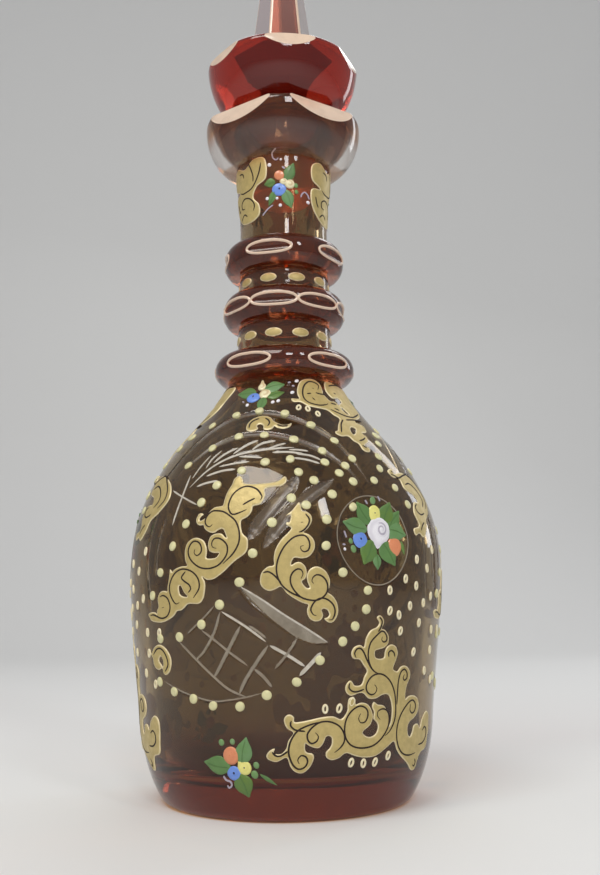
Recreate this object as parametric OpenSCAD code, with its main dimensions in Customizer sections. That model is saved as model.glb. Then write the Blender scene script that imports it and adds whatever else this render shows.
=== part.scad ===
// Ring-necked decanter of stained and cut glass, with raised gold scrolls,
// enamel flowers and a loose stopper with a tall six-sided spire.
// Origin: centre of the foot, on the surface it stands on. +Z is up, -Y is the front.

/* [Body] */
// Diameter of the ring of glass that the bottle stands on
foot_d = 93; // [86:0.5:98]
// Diameter of the body just above its rounded heel
heel_d = 112; // [106:0.5:116]
// Height at which the rounded heel ends
heel_h = 30; // [24:0.5:36]
// Widest diameter of the body
belly_d = 121.6; // [118:0.2:128]
// Height of the widest place
belly_h = 88; // [82:0.5:94]
// Diameter where the shoulder turns into the sweep up to the neck
turn_d = 78; // [72:0.5:84]
// Height of that turn
turn_h = 138; // [132:0.5:144]
// Height at which the sweep ends and the neck begins
neck_h = 166; // [160:0.5:172]
// Thickness of the glass round the hollow of the body
wall = 5.5; // [5:0.1:8]
// Thickness of the solid glass under the hollow
floor_t = 12; // [8:0.5:16]
// Diameter of the shallow hollow ground under the foot
punt_d = 76; // [60:1:80]
// Depth of that hollow
punt_h = 2; // [1:0.1:4]

/* [Neck] */
// Diameter of the neck where it leaves the body
neck_d = 39.2; // [36:0.2:44]
// Diameter of the neck's waist, above the rings
waist_d = 36.2; // [34:0.2:38]
// Diameter of the neck under the lip
throat_d = 39.4; // [37:0.2:42]
// Bore of the neck
bore_d = 26; // [22:0.2:28]
// Height from the start of the neck to its waist
waist_rise = 59.4; // [56:0.2:64]
// Height from the waist to the underside of the lip
throat_rise = 27; // [24:0.2:32]

/* [Neck rings] */
// Diameter of the lower ring
lower_ring_d = 56.6; // [50:0.2:60]
// Thickness of the lower ring
lower_ring_t = 13; // [10:0.2:14]
// Diameter of the middle ring
middle_ring_d = 50; // [46:0.2:54]
// Thickness of the middle ring
middle_ring_t = 14.2; // [11:0.2:15]
// Diameter of the upper ring
upper_ring_d = 49.4; // [46:0.2:54]
// Thickness of the upper ring
upper_ring_t = 13.8; // [11:0.2:15]
// Height from the lower ring's middle to the middle ring's
middle_ring_rise = 24.4; // [22:0.2:28]
// Height from the middle ring's middle to the upper ring's
upper_ring_rise = 21.4; // [20:0.2:26]
// Radius of the round groove that an olive cut leaves in a ring
olive_r = 3; // [2:0.1:4]
// Depth of an olive cut
olive_depth = 1.8; // [1:0.1:2.2]
// Number of olive cuts on the lower ring
lower_cuts = 5; // [4:1:6]
// Angle of the lower ring's first cut
lower_cut_az = -32; // [-36:1:36]
// Number of olive cuts on the middle ring
middle_cuts = 8; // [5:1:8]
// Angle of the middle ring's first cut
middle_cut_az = -10; // [-22:1:22]
// Number of olive cuts on the upper ring
upper_cuts = 5; // [4:1:6]
// Angle of the upper ring's first cut
upper_cut_az = -15; // [-36:1:36]

/* [Lip] */
// Diameter of the lip at its widest
lip_d = 65; // [58:0.5:70]
// Height of the lip, from its underside to the mouth
lip_t = 20.2; // [16:0.2:24]
// Width of the rounded edge above the widest place
lip_edge = 2.4; // [1.5:0.1:4]
// Number of flats cut on the lip's upper edge
lip_cuts = 5; // [4:1:8]
// Depth of those flats, measured in from the edge
lip_cut_depth = 3.1; // [2:0.1:4]
// How far those flats lean out from lying level
lip_cut_tilt = 65; // [50:1:75]
// Angle of the first flat on the lip
lip_cut_az = 34; // [0:1:72]

/* [Stopper] */
// Diameter of the ground seat at the mouth
seat_d = 28.6; // [28:0.1:31]
// Length of the tapered ground seat
seat_len = 34; // [24:1:36]
// Gap all round between the ground peg and its seat
peg_gap = 0.15; // [0.1:0.01:0.25]
// Gap between the mouth and the underside of the stopper's disc
disc_lift = 2.6; // [1:0.1:4]
// Diameter of the disc at its widest
disc_d = 63.8; // [58:0.2:70]
// Height of the disc's bowl, from its underside to the widest place
bowl_h = 21.6; // [16:0.2:26]
// Height of the rounded rim above the widest place
rim_h = 2.4; // [1.5:0.1:4]
// Height of the domed top above the rim
dome_h = 4.2; // [2:0.1:7]
// Number of flats cut on the rim
disc_cuts = 6; // [4:1:8]
// Depth of those flats, measured in from the edge
disc_cut_depth = 1.0; // [0.6:0.1:2]
// How far those flats lean out from lying level
disc_cut_tilt = 72; // [60:1:80]
// Angle of the first flat on the rim, and of a face of the spire
disc_cut_az = 6; // [0:1:60]
// Width of the spire's foot, across its flats
spire_foot_w = 24.6; // [20:0.2:28]
// Width of the spire below its point, across its flats
spire_neck_w = 10.4; // [7:0.2:14]
// Height of the spire up to its point
spire_h = 68; // [50:1:90]
// Height of the point
point_h = 12; // [8:0.5:18]

/* [Ornament] */
// How far the gold scrolls stand proud of the glass
gold_relief = 0.5; // [0.3:0.05:0.8]
// Radius of a cream bead on the body
bead_r = 1.8; // [1.4:0.1:2.2]
// Height of a bead
bead_relief = 0.6; // [0.4:0.05:0.9]
// Thickness of a painted enamel leaf
leaf_relief = 0.5; // [0.3:0.05:0.8]
// Height of an enamel flower
flower_relief = 1.0; // [0.6:0.1:1.6]
// Radius of the round hollow cut behind each large spray
roundel_r = 15; // [12:0.5:17]
// Depth of that hollow
roundel_depth = 3; // [2.4:0.1:3.4]
// Height of a roundel's middle above the widest place
roundel_rise = 7; // [4:0.5:10]
// Width of a gold oval on the neck
oval_w = 7.2; // [5:0.1:8]
// Height of a gold oval on the neck
oval_h = 3.8; // [2.6:0.1:4]
// Number of ovals in the upper band
upper_ovals = 10; // [8:1:12]
// Number of ovals in the lower band
lower_ovals = 11; // [8:1:12]
// Radius of a small gold ring
hoop_r = 1.5; // [1.2:0.1:1.6]
// Radius of the hole in a small gold ring
hoop_hole_r = 0.6; // [0.4:0.05:0.8]

/* [Hidden] */

// Number of times the whole decoration repeats round the bottle
repeats = 3;
// How far applied glass and paint bite into the surface they are fused to
bite = 0.3;

// Angle of the first oval in the upper band and in the lower band
upper_oval_az = -20;
lower_oval_az = -13;
// Angle of the first roundel
roundel_az = 31.5;
// Radius of the ball that a roundel is pressed in by
roundel_ball = 110;
// Distance of a leaf's foot from the middle of its spray
leaf_start = 1.5;
// Radius of the rounding at the bottom of the hollow
hollow_round = 10;
// How much narrower the hollow is at its floor than above the heel
floor_inset = 2.2;
// Fullness of a ring's section: 1 is an ellipse, less is fuller
ring_fullness = 0.8;
// How far the top of the disc's rim lies in from its widest place
rim_inset = 1.3;
// Bevel round the end of the ground peg, and the gap left under it
peg_bevel = 0.8;
peg_end_gap = 1;

// Heights along the bottle, each from the one below
lower_ring_z = neck_h;
middle_ring_z = lower_ring_z + middle_ring_rise;
upper_ring_z = middle_ring_z + upper_ring_rise;
waist_z = neck_h + waist_rise;
lip_z = waist_z + throat_rise;
mouth_z = lip_z + lip_t;
disc_z = mouth_z + disc_lift;
rim_z = disc_z + bowl_h;
disc_top_z = rim_z + rim_h + dome_h;
point_z = disc_top_z + spire_h;
roundel_z = belly_h + roundel_rise;

// The sheet that the ornament is drawn on: the width of its belly, and the heights of its heel,
// belly, turn, neck, waist and lip
sheet = [121.6, 30, 88, 138, 166, 225.4, 252.4];
// Where a drawn height comes on this bottle, and a drawn distance across
function up(z) = lookup(z, [[0, 0], [sheet[1], heel_h], [sheet[2], belly_h], [sheet[3], turn_h],
                            [sheet[4], neck_h], [sheet[5], waist_z], [sheet[6], lip_z]]);
function across(x) = x * belly_d / sheet[0];

// Handles of the body's curves, as offsets from the points they leave
foot_pull = [3, 4];
heel_pull = [1, 16];
belly_pull = [0, 20];
turn_pull = [10.9, -11.7];
sweep_pull = [-8.2, 8.8];
neck_pull = [3.9, -9];

// Points of a cubic curve, without its first point
function curve(a, b, c, d, n) = [for (i = [1 : n]) let (t = i / n, s = 1 - t)
    s * s * s * a + 3 * s * s * t * b + 3 * s * t * t * c + t * t * t * d];

foot_p = [foot_d / 2, 0];
heel_p = [heel_d / 2, heel_h];
belly_p = [belly_d / 2, belly_h];
turn_p = [turn_d / 2, turn_h];
neck_p = [neck_d / 2, neck_h];
waist_p = [waist_d / 2, waist_z];
throat_p = [throat_d / 2, lip_z];

// Outside of the body and the neck, from the foot to the mouth, as radius and height
outside = concat(
    [foot_p],
    curve(foot_p, foot_p + foot_pull, heel_p - heel_pull, heel_p, 7),
    curve(heel_p, heel_p + heel_pull, belly_p - belly_pull, belly_p, 6),
    curve(belly_p, belly_p + belly_pull, turn_p + turn_pull, turn_p, 10),
    curve(turn_p, turn_p + sweep_pull, neck_p + neck_pull, neck_p, 8),
    curve(neck_p, neck_p + [-0.5, 8], waist_p - [0, 20], waist_p, 5),
    curve(waist_p, waist_p + [0, 9], throat_p - [0, 10], throat_p, 4),
    [[throat_d / 2, mouth_z]]);

// The same as height and radius, for looking up the radius at a height
heights = [for (p = outside) [p[1], p[0]]];
function glass_r(z) = lookup(z, heights);
// Lean of the surface at a height: 0 where it is upright, 90 where it faces up
function lean(z) = atan(glass_r(z - 1) / 2 - glass_r(z + 1) / 2);

// Inside of the hollow
floor_r = heel_d / 2 - wall - floor_inset;
inside = concat(
    [[0, floor_t]],
    [for (a = [-90 : 18 : -18])
        [floor_r - hollow_round + hollow_round * cos(a), floor_t + hollow_round * (1 + sin(a))]],
    [for (p = outside) if (p[1] > floor_t + hollow_round && p[1] < mouth_z - seat_len - 1)
        [max(p[0] - wall, bore_d / 2), p[1]]],
    [[bore_d / 2, mouth_z - seat_len], [seat_d / 2, mouth_z], [seat_d / 2, mouth_z + 1], [0, mouth_z + 1]]);

// Glass pieces

module vessel() {
    color([0.46, 0.3, 0.12, 0.6])
    difference() {
        rotate_extrude($fn = 96)
            polygon(concat([[0, punt_h], [punt_d / 2, 0]], outside, [[0, mouth_z]]));
        rotate_extrude($fn = 96)
            polygon(inside);
        round_about() roundel_cut();
    }
}

// Puts a piece at the middle of the ball that presses the roundel in, with y into the glass
module at_ball() {
    facing(roundel_az)
        translate([0, -glass_r(roundel_z), roundel_z])
            rotate([-lean(roundel_z), 0, 0])
                translate([0, roundel_depth - roundel_ball, 0])
                    children();
}

// The hollow behind a large spray: a shallow cap of a large ball
module roundel_cut() {
    at_ball()
        intersection() {
            sphere(r = roundel_ball, $fn = 96);
            translate([0, roundel_ball, 0])
                rotate([90, 0, 0])
                    cylinder(r = roundel_r * 1.2, h = 2 * roundel_ball, center = true, $fn = 96);
        }
}

// A ring of glass laid on round the neck, with olive cuts at its equator
module neck_ring(z, d, t, cuts, first_cut) {
    start = glass_r(z);
    reach = d / 2 - start;
    steps = 14;
    color([0.5, 0.16, 0.05, 0.7])
    difference() {
        rotate_extrude($fn = 96)
            difference() {
                polygon(concat([[bore_d / 2, z - t / 2]],
                    [for (i = [0 : steps]) let (a = -90 + 180 * i / steps)
                        [start + reach * pow(max(cos(a), 0), ring_fullness), z + t / 2 * sin(a)]],
                    [[bore_d / 2, z + t / 2]]));
                polygon(concat([[0, 0]], [for (p = outside) p - [bite, 0]], [[0, mouth_z]]));
            }
        for (k = [0 : cuts - 1])
            rotate([0, 0, first_cut + k * 360 / cuts])
                olive_cut(z, d / 2);
    }
}

// A straight round groove across the ring, which leaves a pointed lens on it
module olive_cut(z, r) {
    translate([0, -(r - olive_depth + olive_r), z])
        rotate([0, 90, 0])
            cylinder(r = olive_r, h = 2 * r, center = true, $fn = 48);
}

module neck_ring_lower() {
    neck_ring(lower_ring_z, lower_ring_d, lower_ring_t, lower_cuts, lower_cut_az);
}

module neck_ring_middle() {
    neck_ring(middle_ring_z, middle_ring_d, middle_ring_t, middle_cuts, middle_cut_az);
}

module neck_ring_upper() {
    neck_ring(upper_ring_z, upper_ring_d, upper_ring_t, upper_cuts, upper_cut_az);
}

// A block that takes a flat, tilted from lying level, off an edge at radius r and height z
module edge_flat(r, z, tilt) {
    block = 60;
    translate([0, -r, z])
        rotate([tilt, 0, 0])
            translate([-block / 2, -block / 2, 0])
                cube([block, block, block]);
}

module mouth_flange() {
    inner = throat_d / 2 - bite;
    wide_z = mouth_z - lip_edge;
    steps = 12;
    color([0.5, 0.2, 0.07, 0.65])
    difference() {
        rotate_extrude($fn = 96)
            polygon(concat(
                [for (i = [0 : steps]) let (a = 90 - 90 * i / steps)
                    [inner + (lip_d / 2 - inner) * cos(a), wide_z - (lip_t - lip_edge) * sin(a)]],
                [[lip_d / 2 - lip_edge / 4, mouth_z - lip_edge / 3],
                 [lip_d / 2 - lip_edge * 0.7, mouth_z],
                 [inner, mouth_z]]));
        for (k = [0 : lip_cuts - 1])
            rotate([0, 0, lip_cut_az + k * 360 / lip_cuts])
                edge_flat(lip_d / 2 - lip_edge * 0.7 - lip_cut_depth, mouth_z, lip_cut_tilt);
    }
}

module stopper_peg() {
    slope = (seat_d - bore_d) / 2 / seat_len;
    top_r = seat_d / 2 - peg_gap;
    end_z = mouth_z - seat_len + peg_end_gap;
    color([0.75, 0.7, 0.62, 0.6])
        rotate_extrude($fn = 96)
            polygon([[0, end_z], [bore_d / 2 - peg_gap - peg_bevel, end_z],
                     [bore_d / 2 - peg_gap + slope * 2 * peg_end_gap, end_z + peg_end_gap],
                     [top_r, mouth_z], [top_r, disc_z], [0, disc_z]]);
}

module stopper_disc() {
    under_p = [seat_d / 2 + 1.5, disc_z];
    wide_p = [disc_d / 2, rim_z];
    color([0.42, 0.05, 0.03, 0.75])
    difference() {
        rotate_extrude($fn = 96)
            polygon(concat(
                [[0, disc_z], under_p],
                curve(under_p, under_p + [8.5, 0.5], wide_p - [1.4, 12], wide_p, 8),
                [wide_p + [-0.3, rim_h * 0.6], wide_p + [-rim_inset, rim_h]],
                curve(wide_p + [-rim_inset, rim_h], wide_p + [-8, rim_h + dome_h * 0.6],
                      [spire_foot_w / 2 + 6, disc_top_z], [spire_foot_w / 2 + 2, disc_top_z], 4),
                [[0, disc_top_z]]));
        for (k = [0 : disc_cuts - 1])
            rotate([0, 0, disc_cut_az + k * 360 / disc_cuts])
                edge_flat(disc_d / 2 - rim_inset - disc_cut_depth, rim_z + rim_h, disc_cut_tilt);
    }
}

// The spire is what three upright slabs of the same outline have in common
module stopper_spire() {
    foot_w = spire_foot_w / 2;
    neck_w = spire_neck_w / 2;
    edge = concat([[foot_w, disc_top_z]],
        curve([foot_w, disc_top_z], [foot_w - 2.1, disc_top_z + 14],
              [neck_w + 2, point_z - 26], [neck_w, point_z], 8),
        [[0.4, point_z + point_h]]);
    outline = concat(edge, [for (i = [len(edge) - 1 : -1 : 0]) [-edge[i][0], edge[i][1]]]);
    color([0.6, 0.3, 0.16, 0.65])
        rotate([0, 0, disc_cut_az])
            intersection_for (k = [0 : 2])
                rotate([0, 0, 60 * k])
                    rotate([0, 0, 90])
                        rotate([90, 0, 0])
                            linear_extrude(2 * spire_foot_w, center = true)
                                polygon(outline);
}

// Placing ornament

// Turns what is drawn at the front to an angle round the bottle, to the right when positive
module facing(az) {
    rotate([0, 0, az]) children();
}

// Repeats one third of the decoration round the bottle
module round_about() {
    for (k = [0 : repeats - 1])
        rotate([0, 0, k * 360 / repeats]) children();
}

// Stands a piece on the glass: its flat side lies along the surface, its z axis points out
module on_surface(az, z) {
    facing(az)
        translate([0, -glass_r(z), z])
            rotate([90 - lean(z), 0, 0])
                children();
}

// The same, on the floor of the roundel
module on_roundel(az, z) {
    x = glass_r(roundel_z) * sin(az - roundel_az);
    at_ball()
        rotate([asin((z - roundel_z) / roundel_ball), 0, -asin(x / roundel_ball)])
            translate([0, roundel_ball, 0])
                rotate([90, 0, 0])
                    children();
}

// A thin layer that follows the glass between two heights
module skin(z0, z1, relief) {
    face = concat([[glass_r(z0), z0]],
        [for (p = outside) if (p[1] > z0 + 0.01 && p[1] < z1 - 0.01) p],
        [[glass_r(z1), z1]]);
    last = len(face) - 1;
    rotate_extrude($fn = 96)
        polygon(concat([for (p = face) p + [relief, 0]],
                       [for (i = [last : -1 : 0]) face[i] - [bite, 0]]));
}

// A closed round-cornered outline through hand-set points, as x across and height
function through(p) = let (n = len(p)) [for (i = [0 : n - 1], t = [0, 0.34, 0.67])
    let (a = p[(i + n - 1) % n], b = p[i], c = p[(i + 1) % n], d = p[(i + 2) % n])
    0.5 * (2 * b + (c - a) * t + (2 * a - 5 * b + 4 * c - d) * t * t
           + (3 * b - a - 3 * c + d) * t * t * t)];

// A flat drawing, seen square-on from one side, laid on the glass between two heights
module laid_on(az, z0, z1, relief) {
    intersection() {
        skin(z0, z1, relief);
        facing(az)
            rotate([90, 0, 0])
                linear_extrude(belly_d)
                    children();
    }
}

// Raised gold: outlines laid on the glass as one shape
module gold_shape(az, outlines, z0, z1) {
    color([0.72, 0.62, 0.3])
    round_about()
        laid_on(az, up(z0), up(z1), gold_relief)
            for (points = outlines)
                polygon([for (p = through(points)) [across(p[0]), up(p[1])]]);
}

// A low round dome with its foot in the glass
module dome(r, h) {
    rotate_extrude($fn = 24)
        polygon([[0, -bite], [r, -bite], [r, h * 0.3], [r * 0.75, h * 0.8], [r * 0.35, h], [0, h]]);
}

// An oval as long as a and as high as b
function oval(a, b) = [for (i = [0 : 19]) [a / 2 * cos(18 * i), b / 2 * sin(18 * i)]];

// A row of evenly spread places along a bow from one place to another
function bow(from, via, to, n) = [for (i = [0 : n - 1]) let (t = i / (n - 1))
    (1 - t) * (1 - t) * from + 2 * t * (1 - t) * via + t * t * to];

// Gold scrolls

rising_points = [
    [9, 116], [12, 114], [20, 113], [20, 108], [17, 105], [14, 101], [14.5, 97], [16.5, 93], [15, 89],
    [8, 83.5], [3, 81], [0.5, 81], [0.5, 77], [-1, 73.5], [-6, 73], [-11, 70.5], [-16, 67.5],
    [-21, 66.7], [-26, 68], [-22, 70], [-21.5, 75], [-18, 77.6], [-15.5, 80], [-14, 85], [-8, 86],
    [-7.5, 91], [-5, 95], [-1, 95], [1.5, 92], [2, 89], [6, 89], [3, 91.5], [3.5, 96], [8, 96], [6, 98],
    [1, 98], [-3.5, 101], [1, 103.5], [3, 105.5], [6.5, 107], [7, 112]];
module gold_scroll_rising() {
    gold_shape(-28, [rising_points], 64, 118);
}

falling_points = [
    [-3.5, 107], [-2.5, 104], [0.5, 101.5], [-2, 97], [1, 94.5], [1, 90], [-3, 87.8], [-6, 87.5],
    [-4, 86.3], [-2, 84.5], [-2, 81], [-1, 78], [-1, 83], [2, 85], [5.5, 83], [6, 77], [9, 73],
    [8.5, 67.5], [5, 67.5], [5.5, 70], [3.5, 68], [0, 67.3], [-1.4, 70], [-3, 73], [-10, 78],
    [-14, 77], [-17, 80], [-16, 84], [-12.6, 86], [-12, 91], [-8, 97], [-7, 103]];
module gold_scroll_falling() {
    gold_shape(8, [falling_points], 64, 110);
}

// The corner scroll above the foot: a crest, a middle and two wings
foot_crest = [
    [4.5, 68], [7, 67], [6.5, 64], [9.5, 61.5], [8.5, 58], [4.5, 56.5], [4.5, 54], [8, 54], [9.5, 57.8],
    [13, 58], [14, 54], [12.5, 50], [14.3, 45], [13.5, 38], [11, 40], [8, 41.7], [3, 40.7], [0, 42.5],
    [-5, 42], [-6.8, 45], [-4, 46], [-1, 45.8], [1, 50], [-4.5, 54.5], [-4.5, 58], [-0.5, 58.3],
    [1.5, 63], [5, 65]];
foot_middle = [
    [-8, 34.5], [-6, 37.5], [-4.5, 41.5], [-3, 39.3], [1, 39], [4, 35.5], [3, 32], [0.3, 29.5], [3, 28.3],
    [6, 30.4], [5.5, 33], [4, 37], [5, 39], [9.5, 37], [12, 31], [14.5, 36], [17.5, 31], [14, 25.5],
    [8, 22], [0, 21.3], [-6, 23.3], [-10, 21.4], [-13, 23], [-11, 27], [-9, 31]];
foot_left = [
    [-9, 34.8], [-15, 35.3], [-23, 34], [-25, 36.4], [-26.4, 34], [-24, 30.5], [-25.5, 25.5], [-29, 24.2],
    [-31, 23.5], [-28, 21.2], [-25, 22.3], [-23, 18.5], [-19.5, 17.6], [-17, 22], [-19.5, 24.5],
    [-18.5, 26.3], [-14.5, 26], [-13, 29], [-10, 27]];
foot_right = [
    [14, 45], [15.5, 50.3], [18.5, 51], [21.3, 48], [19.5, 43], [19.5, 40], [24, 40.3], [27.3, 37],
    [25, 32.8], [21, 30.5], [22, 26.5], [24.5, 30.4], [29, 28.8], [33, 34], [36, 30.6], [33.5, 21],
    [29.5, 19], [27, 14.3], [24, 15], [19, 19.5], [14, 25.5], [12.5, 36]];
module gold_scroll_foot() {
    gold_shape(27, [foot_crest, foot_middle, foot_left, foot_right], 11, 70);
}

shoulder_points = [
    [-10.5, 148.5], [-8, 150], [-7, 154], [-4.5, 157.3], [1, 158.2], [3.3, 155], [3.5, 151], [7, 149],
    [11, 149.5], [6.5, 151], [4.8, 154], [6.5, 158], [12, 157.5], [18, 155], [19.5, 147], [16, 142],
    [16.5, 138], [13, 135.5], [14, 132], [11, 130], [12.8, 128], [10, 127.3], [8, 130.7], [4, 133.2],
    [0, 134.3], [2.5, 137], [5, 141], [1.5, 144.5], [-5, 145.6]];
module gold_scroll_shoulder() {
    gold_shape(26, [shoulder_points], 125, 159);
}

side_points = [
    [-9.5, 120.5], [-6, 121.5], [-6.5, 119.5], [0, 120.6], [6, 119], [12, 115.5], [14.5, 110.5],
    [11, 106], [6, 103], [4, 99.5], [0, 96.2], [-3, 97.5], [-6, 96.6], [-6.5, 99], [-2, 100.5],
    [-3.5, 105], [-1, 109], [3, 109.5], [1.5, 112], [-4, 114], [-4.5, 117.5], [-8.5, 118.3]];
module gold_scroll_side() {
    gold_shape(57, [side_points], 93, 124);
}

neck_points = [
    [10, 251], [10.2, 243], [6, 240], [4, 236], [6.5, 232.5], [6.3, 228], [2, 225.8], [-4, 227],
    [-8.5, 232], [-9.5, 239], [-5, 240.5], [-9.5, 243], [-10, 249], [-6, 251.5], [0, 249], [5, 252]];
module gold_scroll_neck() {
    gold_shape(-53, [neck_points], 224.4, 252.2);
}

crest_points = [
    [-6, 136], [-6.5, 139], [-3, 141.5], [1, 141.3], [3, 139.3], [8, 138.5], [9, 137.3], [3, 137],
    [0, 138.5], [-3, 138.3], [-3.5, 136]];
module gold_crest() {
    gold_shape(-11, [crest_points], 134, 144);
}

// Two bands of ovals, in the gaps between the neck rings
module gold_neck_ovals() {
    oval_band((middle_ring_z + upper_ring_z) / 2, upper_ovals, upper_oval_az);
    oval_band((lower_ring_z + middle_ring_z) / 2, lower_ovals, lower_oval_az);
}

module oval_band(z, count, first) {
    color([0.75, 0.68, 0.4])
        intersection() {
            skin(z - oval_h * 0.66, z + oval_h * 0.66, gold_relief);
            for (k = [0 : count - 1])
                facing(first + k * 360 / count)
                    rotate([90, 0, 0])
                        linear_extrude(neck_d)
                            translate([0, z])
                                polygon(oval(oval_w, oval_h));
        }
}

// Beads and small rings

module bead_row(places, r) {
    color([0.88, 0.84, 0.62])
        round_about()
            for (p = places)
                on_surface(p[0], up(p[1])) dome(r, bead_relief);
}

// The arches over the front panel, as angle and height
module bead_arches() {
    bead_row([[-60, 136], [-47, 139.5], [-32, 143], [-16.5, 144], [0, 142.5], [14, 137.5],
              [23.5, 131], [29, 124]], bead_r);
    bead_row(bow([-46, 123], [-14, 144.5], [25, 121], 7), bead_r * 0.9);
    bead_row(bow([-31, 108], [-14, 132.5], [21, 118.5], 7), bead_r * 0.9);
}

// The borders of the lattice leaf and of the roundel
module bead_borders() {
    bead_row(bow([-51, 46], [-16, 30], [27.5, 70.5], 11), bead_r);
    bead_row(bow([-48.5, 61], [-25, 58], [-10.6, 89.6], 6), bead_r);
    bead_row(bow([-36, 101], [-46, 90], [-52, 76], 4), bead_r * 0.9);
    bead_row(bow([13.5, 101], [9, 86], [27.5, 77.3], 4), bead_r);
    bead_row(bow([27, 114.5], [42, 121], [51, 108], 4), bead_r * 0.8);
    bead_row([[5, 118], [10.5, 115.5], [16.6, 110.2], [2, 108.5], [-4.5, 100.4]], bead_r * 0.8);
}

// Small oval rings of gold, scattered beside the scrolls
ring_places = [
    [50, 88], [62, 92], [57.5, 84.5], [44, 81], [50, 78.5], [36.5, 77], [61, 75], [54.5, 72], [46.5, 71.5],
    [41, 67.5], [52.5, 65.5], [63, 63], [50.5, 56.5], [63, 56], [59, 48.5],
    [12.9, 38.5], [18, 39], [22.9, 19.6], [28.2, 19.1], [33, 19.2], [39, 20.6],
    [9.3, 145.8], [15, 144.2], [20.6, 142.5]];
module small_gold_rings() {
    color([0.86, 0.8, 0.55])
        round_about()
            for (p = ring_places)
                on_surface(p[0], up(p[1]))
                    rotate_extrude($fn = 24)
                        polygon([[hoop_hole_r, -bite], [hoop_r, -bite], [hoop_r, gold_relief / 2],
                                 [(hoop_r + hoop_hole_r) / 2, gold_relief], [hoop_hole_r, gold_relief / 2]]);
}

// Enamel sprays: each is a spot on the bottle with leaves round it

// Half the outline of a pointed leaf: share of its length, share of half its width
leaf_half = [[0.12, 0.55], [0.3, 0.93], [0.48, 1], [0.68, 0.76], [0.86, 0.34]];

// Flat leaves round a middle, each from its foot to its point
module leaf_drawing(leaves) {
    for (l = leaves) {
        length = l[1] - leaf_start;
        rotate(l[0])
            translate([0, leaf_start])
                polygon(concat([[0, 0]],
                    [for (p = leaf_half) [p[1] * l[2] / 2, p[0] * length]],
                    [[0, length]],
                    [for (i = [len(leaf_half) - 1 : -1 : 0])
                        [-leaf_half[i][1] * l[2] / 2, leaf_half[i][0] * length]]));
    }
}

// Leaves of the large spray on the roundel: angle round the rose, reach, width
large_leaves = [[15, 11.5, 5], [-32, 10, 5.5], [-58, 11.5, 5.5], [-100, 9.5, 5], [60, 9.5, 5],
                [100, 12.5, 6], [150, 10, 5.5], [-155, 10.5, 5.5], [-178, 9, 5]];
foot_leaves = [[-75, 11, 6], [100, 4, 3], [20, 9.5, 5.5], [155, 10.5, 5.5]];
shoulder_leaves = [[75, 8, 4.5], [-65, 7.5, 4.5], [-100, 8, 4], [-170, 5, 3.5]];
neck_leaves = [[-30, 8.5, 5], [-150, 7, 5], [80, 5, 4]];

// The middle of each spray, as angle and height
large_spray = [33, roundel_z + 2];
foot_spray = [-18.5, up(20.5)];
shoulder_spray = [-19.5, up(151)];
neck_spray = [-4, up(238.5)];

// The longest reach of a spray's leaves
function reach(leaves) = max([for (l = leaves) l[1]]);

module glass_leaves(spray, leaves) {
    laid_on(spray[0], spray[1] - reach(leaves), spray[1] + reach(leaves), leaf_relief)
        translate([0, spray[1]])
            leaf_drawing(leaves);
}

// The leaves of the large spray, as a shell on the floor of the roundel
module hollow_leaves() {
    at_ball()
        intersection() {
            difference() {
                sphere(r = roundel_ball + bite, $fn = 96);
                sphere(r = roundel_ball - leaf_relief, $fn = 96);
            }
            translate([glass_r(roundel_z) * sin(large_spray[0] - roundel_az), roundel_ball + 1,
                       large_spray[1] - roundel_z])
                rotate([90, 0, 0])
                    linear_extrude(roundel_ball)
                        leaf_drawing(large_leaves);
        }
}

module enamel_leaves() {
    color([0.36, 0.52, 0.33])
    round_about() {
        hollow_leaves();
        glass_leaves(foot_spray, foot_leaves);
        glass_leaves(shoulder_spray, shoulder_leaves);
        glass_leaves(neck_spray, neck_leaves);
    }
}

module flower(r) {
    dome(r, flower_relief);
}

module enamel_roses() {
    color([0.93, 0.91, 0.88])
    round_about() {
        on_roundel(large_spray[0] + 1.5, large_spray[1] + 1) dome(4.8, flower_relief * 1.4);
        on_surface(shoulder_spray[0] + 2, shoulder_spray[1] + 2.5) flower(2.4);
        on_surface(neck_spray[0] + 10, neck_spray[1] + 0.5) flower(2.1);
        on_surface(neck_spray[0], neck_spray[1] - 7.5) flower(1.2);
        on_surface(neck_spray[0] - 16, neck_spray[1] - 4.5) flower(1.2);
    }
}

module enamel_blue_flowers() {
    color([0.38, 0.53, 0.85])
    round_about() {
        on_roundel(large_spray[0] - 5.5, large_spray[1] - 1.5) flower(3);
        on_surface(foot_spray[0] - 1, foot_spray[1] - 3.5) flower(2.3);
        on_surface(shoulder_spray[0] - 4, shoulder_spray[1] - 2) flower(2.3);
        on_surface(neck_spray[0] - 1.5, neck_spray[1] - 0.5) flower(2.4);
    }
}

module enamel_orange_flowers() {
    color([0.9, 0.56, 0.36])
    round_about() {
        on_roundel(large_spray[0] + 8, large_spray[1] - 3.2) flower(3.1);
        on_surface(foot_spray[0] - 1.5, foot_spray[1] + 2.8) flower(2.8);
        on_surface(neck_spray[0] - 1, neck_spray[1] + 5) flower(2.1);
    }
}

module enamel_yellow_flowers() {
    color([0.93, 0.85, 0.4])
    round_about() {
        on_roundel(large_spray[0] + 1, large_spray[1] + 8.3) flower(2.9);
        on_surface(foot_spray[0] + 3.5, foot_spray[1] - 1.3) flower(2.4);
    }
}

vessel();
neck_ring_lower();
neck_ring_middle();
neck_ring_upper();
mouth_flange();
stopper_peg();
stopper_disc();
stopper_spire();
gold_scroll_rising();
gold_scroll_falling();
gold_scroll_foot();
gold_scroll_shoulder();
gold_scroll_side();
gold_scroll_neck();
gold_crest();
gold_neck_ovals();
bead_arches();
bead_borders();
small_gold_rings();
enamel_leaves();
enamel_roses();
enamel_blue_flowers();
enamel_orange_flowers();
enamel_yellow_flowers();
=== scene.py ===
import math
import random

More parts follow.
